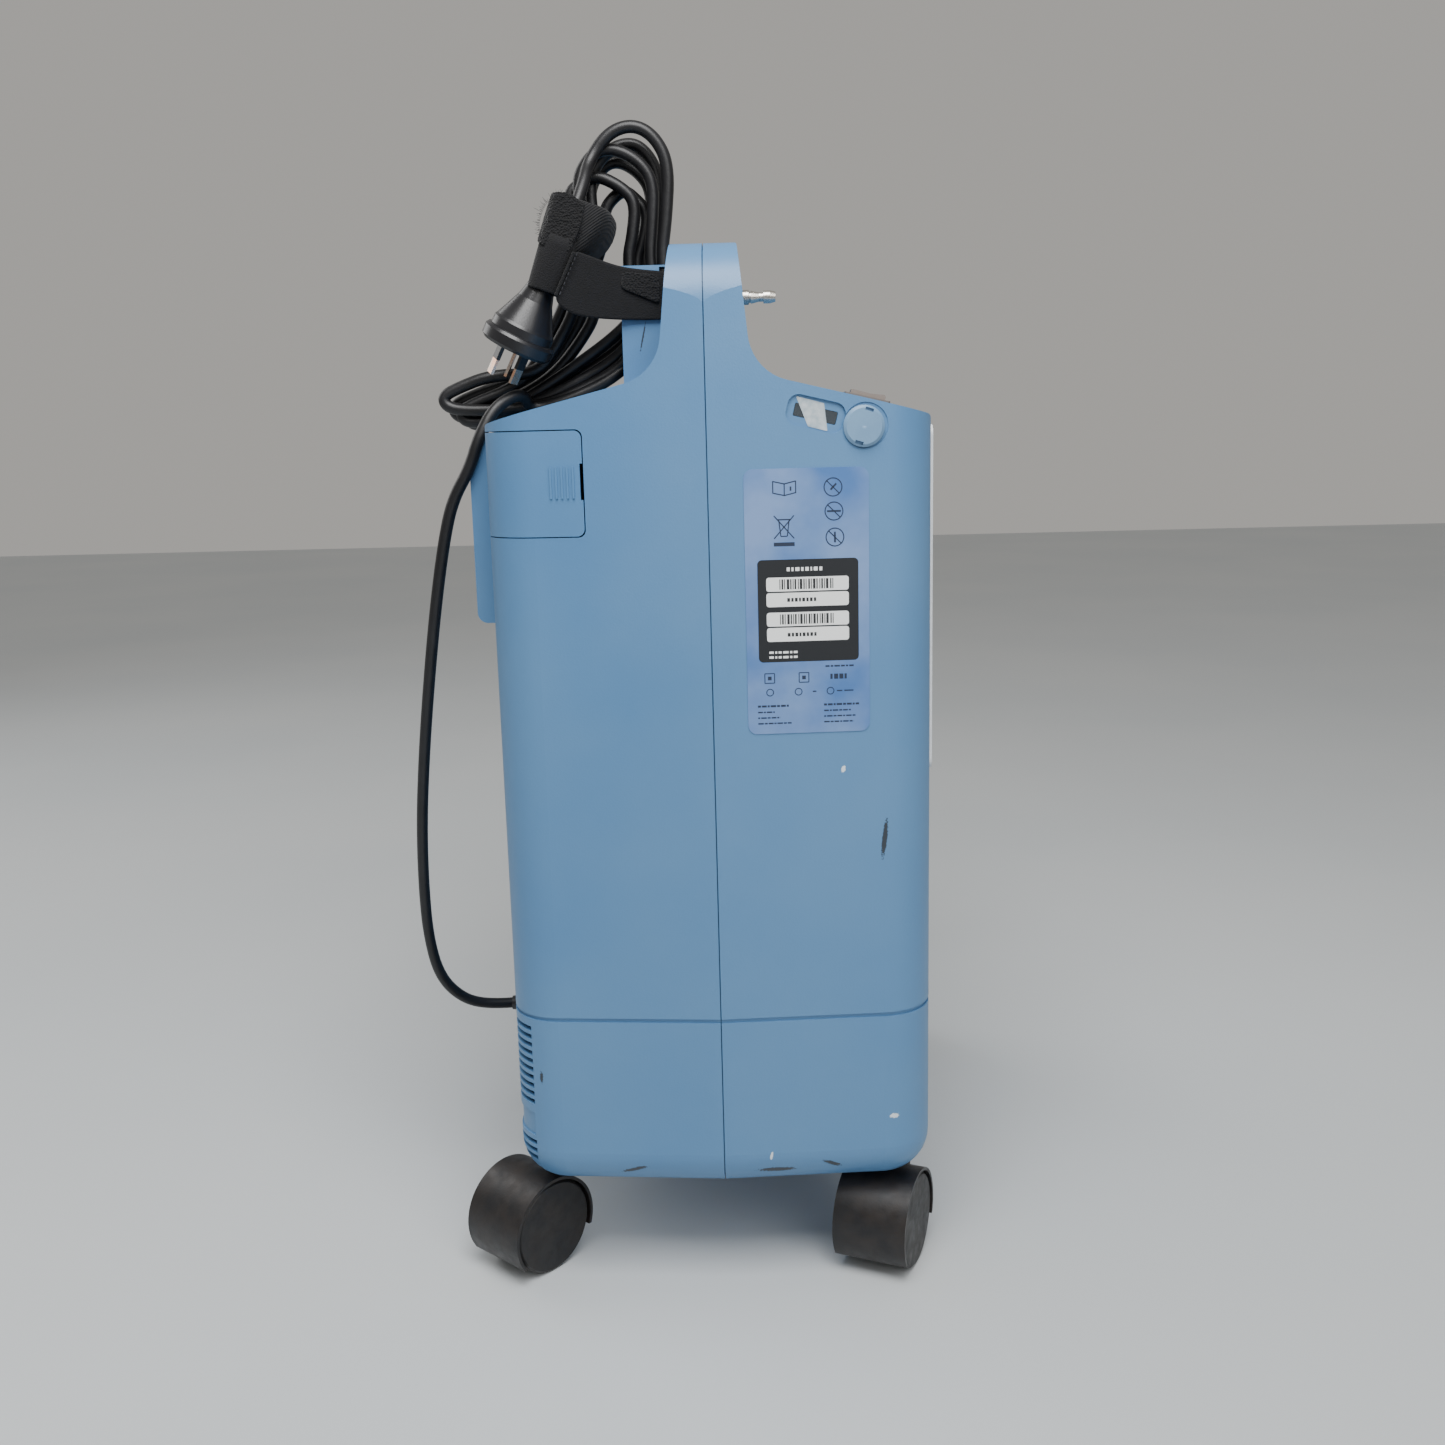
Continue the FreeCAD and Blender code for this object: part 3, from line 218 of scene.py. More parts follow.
def printed_label():
    """Polyester label, screen printed and laminated: flat periwinkle with a soft sheen."""
    material, shader, place = finish("laminated polyester label", Roughness=0.33, IOR=1.5)
    varied_colour(material, shader, place, linear(colours().label), linear("7490BC"), 0.05)
    grain_bump(material, shader, place, 0.004, 0.00002)
    return material


def ink(name, code):
    """Screen printing ink: a matt film a few hundredths of a millimetre thick."""
    material, shader, place = finish(name, Roughness=0.5)
    varied_colour(material, shader, place, linear(code), linear(code), 0.01)
    grain_bump(material, shader, place, 0.0008, 0.00001)
    return material


def black_moulding(name="glass-filled nylon, black", rough=0.42, tint="221D1B"):
    """Nylon, injection moulded: near black, its grain worn a little brown and shiny."""
    material, shader, place = finish(name, IOR=1.5)
    patches = varied_colour(material, shader, place, linear(colours().black), linear(tint), 0.012)
    worn = add(material, "ShaderNodeTexNoise", {"Vector": place, "Scale": 160.0, "Detail": 5.0})
    rub = add(
        material,
        "ShaderNodeMapRange",
        {"Value": worn.outputs["Fac"], "From Min": 0.3, "From Max": 0.7,
         "To Min": rough - 0.08, "To Max": rough + 0.12},
    )
    wire(material, rub.outputs["Result"], shader.inputs["Roughness"])
    grain_bump(material, shader, place, 0.0012, 0.00005)
    return material


def lead_sheath():
    """Flexible PVC, extruded: a soft black gloss with faint draw marks and dust."""
    material, shader, place = finish("extruded PVC sheath", Roughness=0.42, IOR=1.47)
    varied_colour(material, shader, place, linear("0C0C0E"), linear("17171A"), 0.02)
    grain_bump(material, shader, place, 0.003, 0.0001)
    return material


def woven_loop(name, thread, height, light):
    """Nylon hook and loop tape: woven ground, its threads drawn as coarse as they show."""
    material, shader, place = finish(name, Roughness=0.95, Sheen_Weight=0.08, Sheen_Roughness=0.4)
    varied_colour(material, shader, place, linear("08080A"), linear(light), 0.0035)
    weave = add(
        material,
        "ShaderNodeTexVoronoi",
        {"Vector": place, "Scale": 1 / thread, "Randomness": 0.85},
    )
    bump = add(
        material,
        "ShaderNodeBump",
        {"Height": weave.outputs["Distance"], "Strength": 1.0, "Distance": height},
    )
    wire(material, bump.outputs["Normal"], shader.inputs["Normal"])
    return material


def ribbed_tape():
    """The back of the tape: fine ribs across its width."""
    material, shader, place = finish("ribbed nylon tape", Roughness=0.88, Sheen_Weight=0.05)
    varied_colour(material, shader, place, linear("09090B"), linear("101013"), 0.006)
    turned = add(material, "ShaderNodeMapping", {"Vector": place, "Rotation": (0.59, 0, 0)})
    ribs = add(
        material,
        "ShaderNodeTexWave",
        {"Vector": turned.outputs["Vector"], "Scale": 250.0, "Distortion": 0.4},
        bands_direction="Z",
    )
    bump = add(
        material, "ShaderNodeBump", {"Height": ribs.outputs["Fac"], "Strength": 1.0, "Distance": 0.0003}
    )
    wire(material, bump.outputs["Normal"], shader.inputs["Normal"])
    return material


def plated_metal(name, code, rough):
    """Turned and nickel plated brass, or bare drawn metal: fine scratches along the turning."""
    material, shader, place = finish(name, Metallic=1.0, Roughness=rough)
    varied_colour(material, shader, place, linear(code), linear("B9B4AC"), 0.006)
    scratch = grain_bump(material, shader, place, 0.0007, 0.00003, 4.0)
    rub = add(
        material,
        "ShaderNodeMapRange",
        {"Value": scratch.outputs["Fac"], "From Min": 0.3, "From Max": 0.7,
         "To Min": rough - 0.07, "To Max": rough + 0.1},
    )
    wire(material, rub.outputs["Result"], shader.inputs["Roughness"])
    return material


def plain_plastic(name, code, rough, code_two=None):
    """A satin ABS moulding with a slight grain."""
    material, shader, place = finish(name, Roughness=rough, IOR=1.52)
    varied_colour(material, shader, place, linear(code), linear(code_two or code), 0.02)
    grain_bump(material, shader, place, 0.0011, 0.00004)
    return material


def clear_plastic(name, code, rough, weight):
    """Polycarbonate, polished tool: clear with a faint tint."""
    material, shader, place = finish(name, Roughness=rough, IOR=1.58, Transmission_Weight=weight)
    varied_colour(material, shader, place, linear(code), linear(code), 0.02)
    grain_bump(material, shader, place, 0.004, 0.00002)
    return material


def clear_tape():
    """Polypropylene packing tape: a clear film, milky where it has lifted."""
    material, shader, place = finish("clear polypropylene tape", Roughness=0.22, Alpha=0.62)
    varied_colour(material, shader, place, linear("DDE6EA"), linear("B5C6D0"), 0.004)
    grain_bump(material, shader, place, 0.003, 0.0002)
    return material


# ------------------------------------------------------------------ mesh helpers
def new_piece(name, bm, material, body="body", modifiers=()):
    """Link a finished bmesh as a piece that rides on a body."""
    bmesh.ops.recalc_face_normals(bm, faces=bm.faces)
    mesh = bpy.data.meshes.new(name)
    bm.to_mesh(mesh)
    bm.free()
    obj = bpy.data.objects.new(name, mesh)
    bpy.context.scene.collection.objects.link(obj)
    mesh.materials.append(material)
    for kind, settings in modifiers:
        modifier = obj.modifiers.new(kind.title(), kind)
        for key, value in settings.items():
            setattr(modifier, key, value)
    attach(obj, body)
    return obj


def smooth(obj, angle=35):
    """Smooth shading, kept sharp at edges over an angle."""
    obj.data.shade_smooth()
    for edge in obj.data.edges:
        edge.use_edge_sharp = False
    bm = bmesh.new()
    bm.from_mesh(obj.data)
    for edge in bm.edges:
        if len(edge.link_faces) == 2 and edge.calc_face_angle(0) > math.radians(angle):
            edge.smooth = False
    bm.to_mesh(obj.data)
    bm.free()
    return obj


def box_into(bm, size, matrix, bevel=0.0):
    """Add a box to a bmesh, its edges broken by a small bevel."""
    made = bmesh.ops.create_cube(bm, size=1.0, matrix=matrix @ Matrix.Diagonal((*size, 1)))
    if bevel:
        edges = list({e for v in made["verts"] for e in v.link_edges})
        bmesh.ops.bevel(
            bm, geom=edges, offset=bevel, offset_type="OFFSET", affect="EDGES", segments=2, profile=0.5,
            material=-1,
        )


def paint(names, material):
    """Give CAD nodes their finish."""
    for name in names:
        slots = CAD[name].material_slots
        for slot in slots:
            slot.material = material


# ------------------------------------------------------------------ finishes of the CAD parts
class CONCENTRATOR_OT_finishes(bpy.types.Operator):
    """Give every solid part its real finish"""

    bl_idname = "concentrator.finishes"
    bl_label = "Part finishes"

    def execute(self, context):
        paint(["front_cover", "rear_cover", "filter_door"], moulded_shell())
        paint(["service_cap"], plain_plastic("moulded ABS, cap", "6488AA", 0.4, "6E92B2"))
        paint(["front_insert_panel"], plain_plastic("moulded ABS, white", "E6E8E9", 0.35, "DCDFE1"))
        paint(["rating_label"], printed_label())
        paint(["control_panel"], plain_plastic("printed overlay, slate", "35506E", 0.35, "2F4863"))
        black = black_moulding()
        hoods = [n for n in CAD if n.startswith("caster_hood")]
        wheels = [n for n in CAD if n.startswith("caster_wheels")]
        paint(hoods, black)
        paint(wheels, black_moulding("solid nylon tread, black", 0.5, "1E1A18"))
        rubber = plain_plastic("moulded PVC, plug black", "141417", 0.3, "1D1D20")
        paint(["plug_body", "strain_relief"], rubber)
        paint(["plug_pins"], plated_metal("drawn brass, plug pin", "D9A98C", 0.3))
        paint(["outlet_barb"], plated_metal("nickel plated brass", "CFCBC4", 0.28))
        paint(["power_rocker"], plain_plastic("moulded nylon, taupe", colours().switch, 0.38, "867C74"))
        paint(["switch_frame"], plain_plastic("moulded nylon, taupe frame", "6A625C", 0.45, "736A64"))
        paint(["hour_meter"], plain_plastic("meter housing, black", "0F1012", 0.4))
        paint(["hour_meter_window"], clear_plastic("polycarbonate window, smoked", "59626A", 0.08, 0.6))
        paint(["tape_strip"], clear_tape())
        paint(["flow_meter_tube"], clear_plastic("polycarbonate tube, clear", "F2F5F6", 0.05, 0.9))
        paint(["flow_meter_body"], plain_plastic("moulded ABS, meter back", "D4D8DA", 0.4))
        paint(["flow_float", "cover_screws", "door_hinge_pin"], plated_metal("zinc plated steel", "B8BABC", 0.3))
        paint(["flow_knob"], plain_plastic("moulded ABS, knob", "2B3036", 0.35, "33393F"))
        paint(["status_lights"], plain_plastic("lens acrylic, green", "4FA36A", 0.15, "459660"))
        hidden_black = ["cooling_fan_frame", "fan_rotor", "alarm_buzzer", "solenoid_valves", "exhaust_muffler"]
        paint(hidden_black, plain_plastic("PBT, inner black", "202225", 0.5, "26282B"))
        paint(["circuit_board"], plain_plastic("glass epoxy board, green", "2F5B3E", 0.35, "356546"))
        paint(["compressor_mounts", "hoses"], plain_plastic("silicone rubber, grey", "5B5F63", 0.5, "64686C"))
        cast = ["compressor_motor", "compressor_heads", "product_tank", "sieve_bed_front", "sieve_bed_rear"]
        paint(cast, plated_metal("cast aluminium", "B4B7BA", 0.4))
        paint(["heat_exchanger"], plated_metal("drawn copper tube", "C58B62", 0.3))
        steel = ["base_chassis", "run_capacitor", "pressure_regulator"]
        paint(steel, plated_metal("galvanised steel sheet", "A5A9AC", 0.38))
        pale = ["sound_box", "valve_manifold", "filter_tray", "oxygen_sensor", "hepa_filter", "intake_silencer"]
        paint(pale, plain_plastic("polypropylene, natural", "D7D8D4", 0.5, "CFD0CC"))
        paint(["intake_foam_filter"], plain_plastic("reticulated foam, charcoal", "2C2D2F", 0.9, "37383B"))
        return {"FINISHED"}


# ------------------------------------------------------------------ printed label
class LabelPrint:
    """Flat ink shapes on the label: u runs forward along it and v up it, in millimetres."""

    def __init__(self, lift):
        low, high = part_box("rating_label")
        self.low, self.high = Vector(low), Vector(high)
        thickness = 0.0004
        self.draft = (self.high.x - self.low.x - thickness) / (self.high.y - self.low.y)
        self.lift = lift
        self.bm = bmesh.new()

    def point(self, u, v):
        y = self.high.y - u * MM
        x = self.low.x + (self.high.y - y) * self.draft - self.lift
        return Vector((x, y, self.low.z + v * MM))

    def polygon(self, corners):
        verts = [self.bm.verts.new(self.point(u, v)) for u, v in corners]
        edges = [self.bm.edges.new((verts[i - 1], verts[i])) for i in range(len(verts))]
        bmesh.ops.edgeloop_fill(self.bm, edges=edges)

    def bar(self, u0, v0, u1, v1):
        self.polygon([(u0, v0), (u1, v0), (u1, v1), (u0, v1)])

    def stroke(self, u0, v0, u1, v1, width):
        along = Vector((u1 - u0, v1 - v0)).normalized() * width / 2
        side = Vector((-along.y, along.x))
        self.polygon(
            [(u0 + side.x, v0 + side.y), (u1 + side.x, v1 + side.y),
             (u1 - side.x, v1 - side.y), (u0 - side.x, v0 - side.y)]
        )

    def ring(self, u, v, radius, width, count=28):
        for i in range(count):
            a, b = (2 * math.pi * j / count for j in (i, i + 1))
            self.polygon(
                [(u + r * math.cos(t), v + r * math.sin(t))
                 for r, t in ((radius, a), (radius, b), (radius - width, b), (radius - width, a))]
            )

    def rounded(self, u0, v0, u1, v1, radius, steps=5):
        corners = []
        for cu, cv, start in ((u1 - radius, v1 - radius, 0), (u0 + radius, v1 - radius, 90),
                              (u0 + radius, v0 + radius, 180), (u1 - radius, v0 + radius, 270)):
            for i in range(steps + 1):
                t = math.radians(start + 90 * i / steps)
                corners.append((cu + radius * math.cos(t), cv + radius * math.sin(t)))
        self.polygon(corners)

    def made(self, name, material):
        return new_piece(name, self.bm, material)


class CONCENTRATOR_OT_label(bpy.types.Operator):
    """Print generic pictograms, a dark data block and blank code panels on the side label"""

    bl_idname = "concentrator.label"
    bl_label = "Side label print"

    def execute(self, context):
        dark = LabelPrint(0.00004)
        # An open book.
        for side in (-1, 1):
            u = 21.3
            dark.stroke(u, 127.0, u + side * 6, 128.4, 0.6)
            dark.stroke(u, 133.0, u + side * 6, 134.4, 0.6)
            dark.stroke(u + side * 6, 128.2, u + side * 6, 134.6, 0.6)
        dark.stroke(21.3, 126.8, 21.3, 133.2, 0.6)
        dark.stroke(24.6, 129.4, 24.6, 131.6, 0.9)
        # A bin, struck through, over a bar.
        dark.stroke(17.5, 114.5, 24.3, 114.5, 0.7)
        dark.stroke(18.2, 114.0, 19.2, 105.8, 0.6)
        dark.stroke(23.6, 114.0, 22.6, 105.8, 0.6)
        dark.stroke(19.2, 105.8, 22.6, 105.8, 0.6)
        dark.stroke(15.6, 104.6, 26.2, 116.6, 0.6)
        dark.stroke(26.2, 104.6, 15.6, 116.6, 0.6)
        dark.bar(15.4, 100.6, 26.4, 102.6)
        # Three struck-out rounds with plain marks inside.
        for u, v in ((46.9, 130.8), (47.3, 118.3), (47.7, 104.7)):
            dark.ring(u, v, 5.0, 0.6)
            dark.stroke(u - 3.4, v + 3.4, u + 3.4, v - 3.4, 0.6)
        dark.stroke(45.6, 129.4, 48.6, 132.6, 1.0)
        dark.stroke(43.6, 118.3, 51.0, 118.3, 1.0)
        dark.stroke(47.7, 101.9, 47.7, 107.5, 1.0)
        # Small squares and rows of fine print, as plain dashes.
        for u in (12.0, 30.4):
            for a, b, c, d in ((-2.6, -2.6, 2.6, -2.6), (2.6, -2.6, 2.6, 2.6), (2.6, 2.6, -2.6, 2.6),
                               (-2.6, 2.6, -2.6, -2.6)):
                dark.stroke(u + a, 30.3 + b, u + c, 30.3 + d, 0.5)
            dark.bar(u - 1.0, 29.3, u + 1.0, 31.3)
        for start, length in ((44.6, 1.2), (46.6, 2.2), (49.4, 2.2), (52.2, 1.2)):
            dark.bar(start, 29.0, start + length, 31.8)
        for u in (10.5, 25.8, 43.0):
            dark.ring(u + 1.6, 22.6, 2.1, 0.5, 18)
        for start, length in ((48, 3), (52, 5), (35, 2)):
            dark.bar(start, 22.2, start + length, 22.9)
        for column, widths in ((5.4, (17, 9, 12, 18)), (41.0, (19, 15, 17, 16))):
            for row, width in enumerate(widths):
                v = 14.6 - 3.1 * row
                u = column
                count = 0
                while u < column + width:
                    run = (1.6, 2.6, 1.1, 3.0)[(count + row) % 4]
                    dark.bar(u, v, min(u + run, column + width), v + (1.1 if row == 0 else 0.8))
                    u += run + 0.5
                    count += 1
        u = 42.0
        for run in (2.2, 1.4, 3.0, 2.0, 1.2, 2.4):
            dark.bar(u, 35.6, u + run, 36.5)
            u += run + 0.6
        dark.made("label_marks", ink("screen ink, navy", "1E2A40"))
        block = LabelPrint(0.00005)
        block.rounded(6.4, 39.0, 60.0, 93.6, 2.4)
        block.made("label_data_block", ink("screen ink, black", "15181D"))
        white = LabelPrint(0.00009)
        for low in (68.6, 50.0):
            white.rounded(11.0, low + 8.2, 54.8, low + 15.6, 1.4)
            white.rounded(11.0, low, 54.8, low + 7.4, 1.4)
        u = 22.0
        for run in (1.6, 1.1, 2.2, 1.3, 1.9, 0.8, 2.1, 1.5):
            white.bar(u, 87.4, u + run, 89.4)
            u += run + 0.9
        for v in (43.6, 41.0):
            u = 12.0
            for run in (2.4, 1.0, 1.6, 2.9, 1.2, 2.0):
                white.bar(u, v, u + run, v + 1.2)
                u += run + 0.8
        white.made("label_panels", ink("screen ink, white", "E8EAEA"))
        code = LabelPrint(0.00013)
        for low in (68.6, 50.0):
            u = 18.0
            step = 0
            while u < 47.0:
                run = (0.5, 0.9, 0.5, 1.3, 0.7)[step % 5]
                code.bar(u, low + 9.2, u + run, low + 14.6)
                u += run + (0.6, 0.5, 0.9, 0.5)[step % 4]
                step += 1
            u = 22.0
            for run in (1.5, 1.2, 1.5, 1.0, 1.5, 1.2, 1.4, 1.2):
                code.bar(u, low + 2.6, u + run, low + 4.6)
                u += run + 0.7
        code.made("label_codes", ink("screen ink, code black", "1A1C20"))
        return {"FINISHED"}


# ------------------------------------------------------------------ mains lead
# From the strain relief, out behind the body and up to the coil: the lead's own control points.
LEAD_ROUTE = [
    (-35, 143.5, 117),
    (-40, 159, 118),
    (-48, 175, 126),
    (-57, 187, 145),
    (-66, 190.5, 176),
    (-74, 189.5, 212),
    (-83, 186, 256),
    (-94, 179, 304),
    (-105, 170.5, 352),
    (-114, 162, 396),
    (-120, 154, 432),
    (-123, 147, 456),
    (-125, 135.5, 474),
    (-125, 129.5, 491),
    (-119, 120.5, 508),
    (-110, 105.5, 516),
]
# Each turn of the coil: depth where it enters the strap, depth and height of its top, depth of its
# front side high up and low down, depth and height of its rear tip, how far back its falling run
# lies, and the height at which it comes out from behind the neck.
TURNS = [
    (66, 50, 643, 31, 35, 142, 501.5, -4, 523),
    (57, 46, 626, 34, 41, 136, 501.0, -12, 539),
    (64, 41, 651, 26, 29, 149, 506.5, 3, 530),
    (77, 61, 633, 40, 45, 144, 503.5, 8, 546),
    (71, 53, 647, 29, 32, 153, 512.0, 0, 533),
    (62, 39, 658, 20, 25, 0, 0, 0, 526),
]
COIL_FAR, COIL_NEAR = -73.5, -95.0
# The last stretch: down inside the strap and into the plug.
TO_PLUG = [(-110, 66, 628), (-119, 72, 610), (-123.5, 80, 596), (-124.4, 89, 578)]


def one_turn(strap, top, high, front, low, tip, floor, back, rise):
    """Depth and height of one turn's control points, from the rear deck up, over and down again."""
    left, right = strap - top, top - front
    up = [
        (104, 506.5 + 0.35 * (rise - 526)),
        (78, 514 + 0.8 * (rise - 526)),
        (54, rise),
        (41, rise + 13),
        (low - 3, 563),
        (low, 589),
        (front + 0.3 * (low - front), 589 + 0.3 * (high - 589)),
        (front - 0.8, 589 + 0.72 * (high - 589)),
        (front + 0.36 * right, high - 4),
        (top, high + 2.5),
        (top + 0.62 * left, high - 2),
        (strap + 0.1 * left, high - 17 if high > 640 else high - 9),
    ]
    down = [
        (64 + 0.5 * (strap - 67), 600),
        (71 + 0.4 * (strap - 67), 581),
        (76 + back, 561),
        (86.5 + 0.9 * back, 543),
        (99 + 0.7 * back, 526),
        (tip - 27, floor + 14),
        (tip - 8, floor + 7.5),
        (tip + 2, floor + 2.5),
        (tip - 1, floor - 4),
        (tip - 15, max(floor - 6, 500.2)),
    ]
    return up, down


def lead_points():
    """The lead's control points: the free route, the coil's turns from far to near, then the plug."""
    points = list(LEAD_ROUTE)
    step = (COIL_NEAR - COIL_FAR) / (len(TURNS) - 1)
    for index, shape in enumerate(TURNS):
        up, down = one_turn(*shape)
        turn = up if index == len(TURNS) - 1 else up + down
        for i, (depth, height) in enumerate(turn):
            across = COIL_FAR + step * (index + i / 22)
            if index == 0 and i < 6:
                # The lead comes in on the near side and slips across behind the neck.
                across += (1, 1, 0.95, 0.75, 0.45, 0.15)[i] * (-98 - across)
            points.append((max(across, COIL_NEAR - 3), depth, height))
    return points + TO_PLUG


class CONCENTRATOR_OT_lead(bpy.types.Operator):
    """Lay the mains lead: its free length, the wound coil and the end in the plug"""

    bl_idname = "concentrator.lead"
    bl_label = "Mains lead"

    def execute(self, context):
        points = lead_points()
        curve = bpy.data.curves.new("mains_lead", "CURVE")
        curve.dimensions = "3D"
        spline = curve.splines.new("NURBS")
        spline.points.add(len(points) - 1)
        for spot, (x, y, z) in zip(spline.points, points):
            spot.co = (x * MM, y * MM, z * MM, 1.0)
        spline.order_u = 3
        spline.use_endpoint_u = True
        spline.resolution_u = 8
        curve.bevel_depth = sizes().lead_diameter / 2
        curve.bevel_resolution = 4
        curve.use_fill_caps = True
        lead = bpy.data.objects.new("mains_lead", curve)
        context.scene.collection.objects.link(lead)
        curve.materials.append(lead_sheath())
        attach(lead, "body")
        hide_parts("mains_cord", "cord_coil")
        return {"FINISHED"}


# ------------------------------------------------------------------ strap
def strip(tops, bottoms, across=4):
    """A flat run of cloth: a line of edges from top to bottom, extruded on from place to place."""

    def line(i):
        top, bottom = Vector(tops[i]) * MM, Vector(bottoms[i]) * MM
        return [top.lerp(bottom, j / across) for j in range(across + 1)]

    bm = bmesh.new()
    verts = [bm.verts.new(p) for p in line(0)]
    edges = [bm.edges.new(pair) for pair in zip(verts, verts[1:])]
    for i in range(1, len(tops)):
        made = bmesh.ops.extrude_edge_only(bm, edges=edges)["geom"]
        fresh = [v for v in made if isinstance(v, bmesh.types.BMVert)]
        previous, following = line(i - 1), line(i)
        for vert in fresh:
            nearest = min(range(across + 1), key=lambda j: (vert.co - previous[j]).length)
            vert.co = following[nearest]
        edges = [
            e for e in made if isinstance(e, bmesh.types.BMEdge) and all(v in fresh for v in e.verts)
        ]
    return bm


LEAN = math.radians(20)
BUNDLE = Vector((0, math.sin(LEAN), -math.cos(LEAN)))
ACROSS = Vector((0, math.cos(LEAN), math.sin(LEAN)))
WRAP_CENTRE = Vector((-100.5, 69.5, 600)) * MM


def on_wrap(x, across, along):
    """A point in the strap's own directions, in millimetres from the wrap's centre."""
    return WRAP_CENTRE + (Vector((x, 0, 0)) + ACROSS * across + BUNDLE * along) * MM


def wrap_ring(x, across, along, half_x, half_across, power, count=48):
    """A rounded ring of points round the bundle."""
    points = []
    for i in range(count):
        t = 2 * math.pi * i / count
        c, s = math.cos(t), math.sin(t)
        cx = math.copysign(abs(c) ** (2 / power), c)
        sx = math.copysign(abs(s) ** (2 / power), s)
        wave = 0.5 * noise.noise(Vector((cx * 1.7, sx * 1.7, along * 0.05)))
        points.append(on_wrap(x + (half_x + wave) * cx, across + (half_across + wave) * sx, along))
    return points


def lofted(rings):
    """A tube of cloth through rings of points, its ends left open."""
    bm = bmesh.new()
    loops = []
    for ring in rings:
        verts = [bm.verts.new(p) for p in ring]
        loops.append([bm.edges.new((verts[i - 1], verts[i])) for i in range(len(verts))])
    for first, second in zip(loops, loops[1:]):
        bmesh.ops.bridge_loops(bm, edges=first + second)
    return bm


def cloth(thickness, smoothing):
    """Thickness and smoothing of a piece of strap; viewport and render levels agree."""
    return (
        ("SUBSURF", {"levels": smoothing, "render_levels": smoothing}),
        ("SOLIDIFY", {"thickness": thickness, "offset": 0.0}),
    )


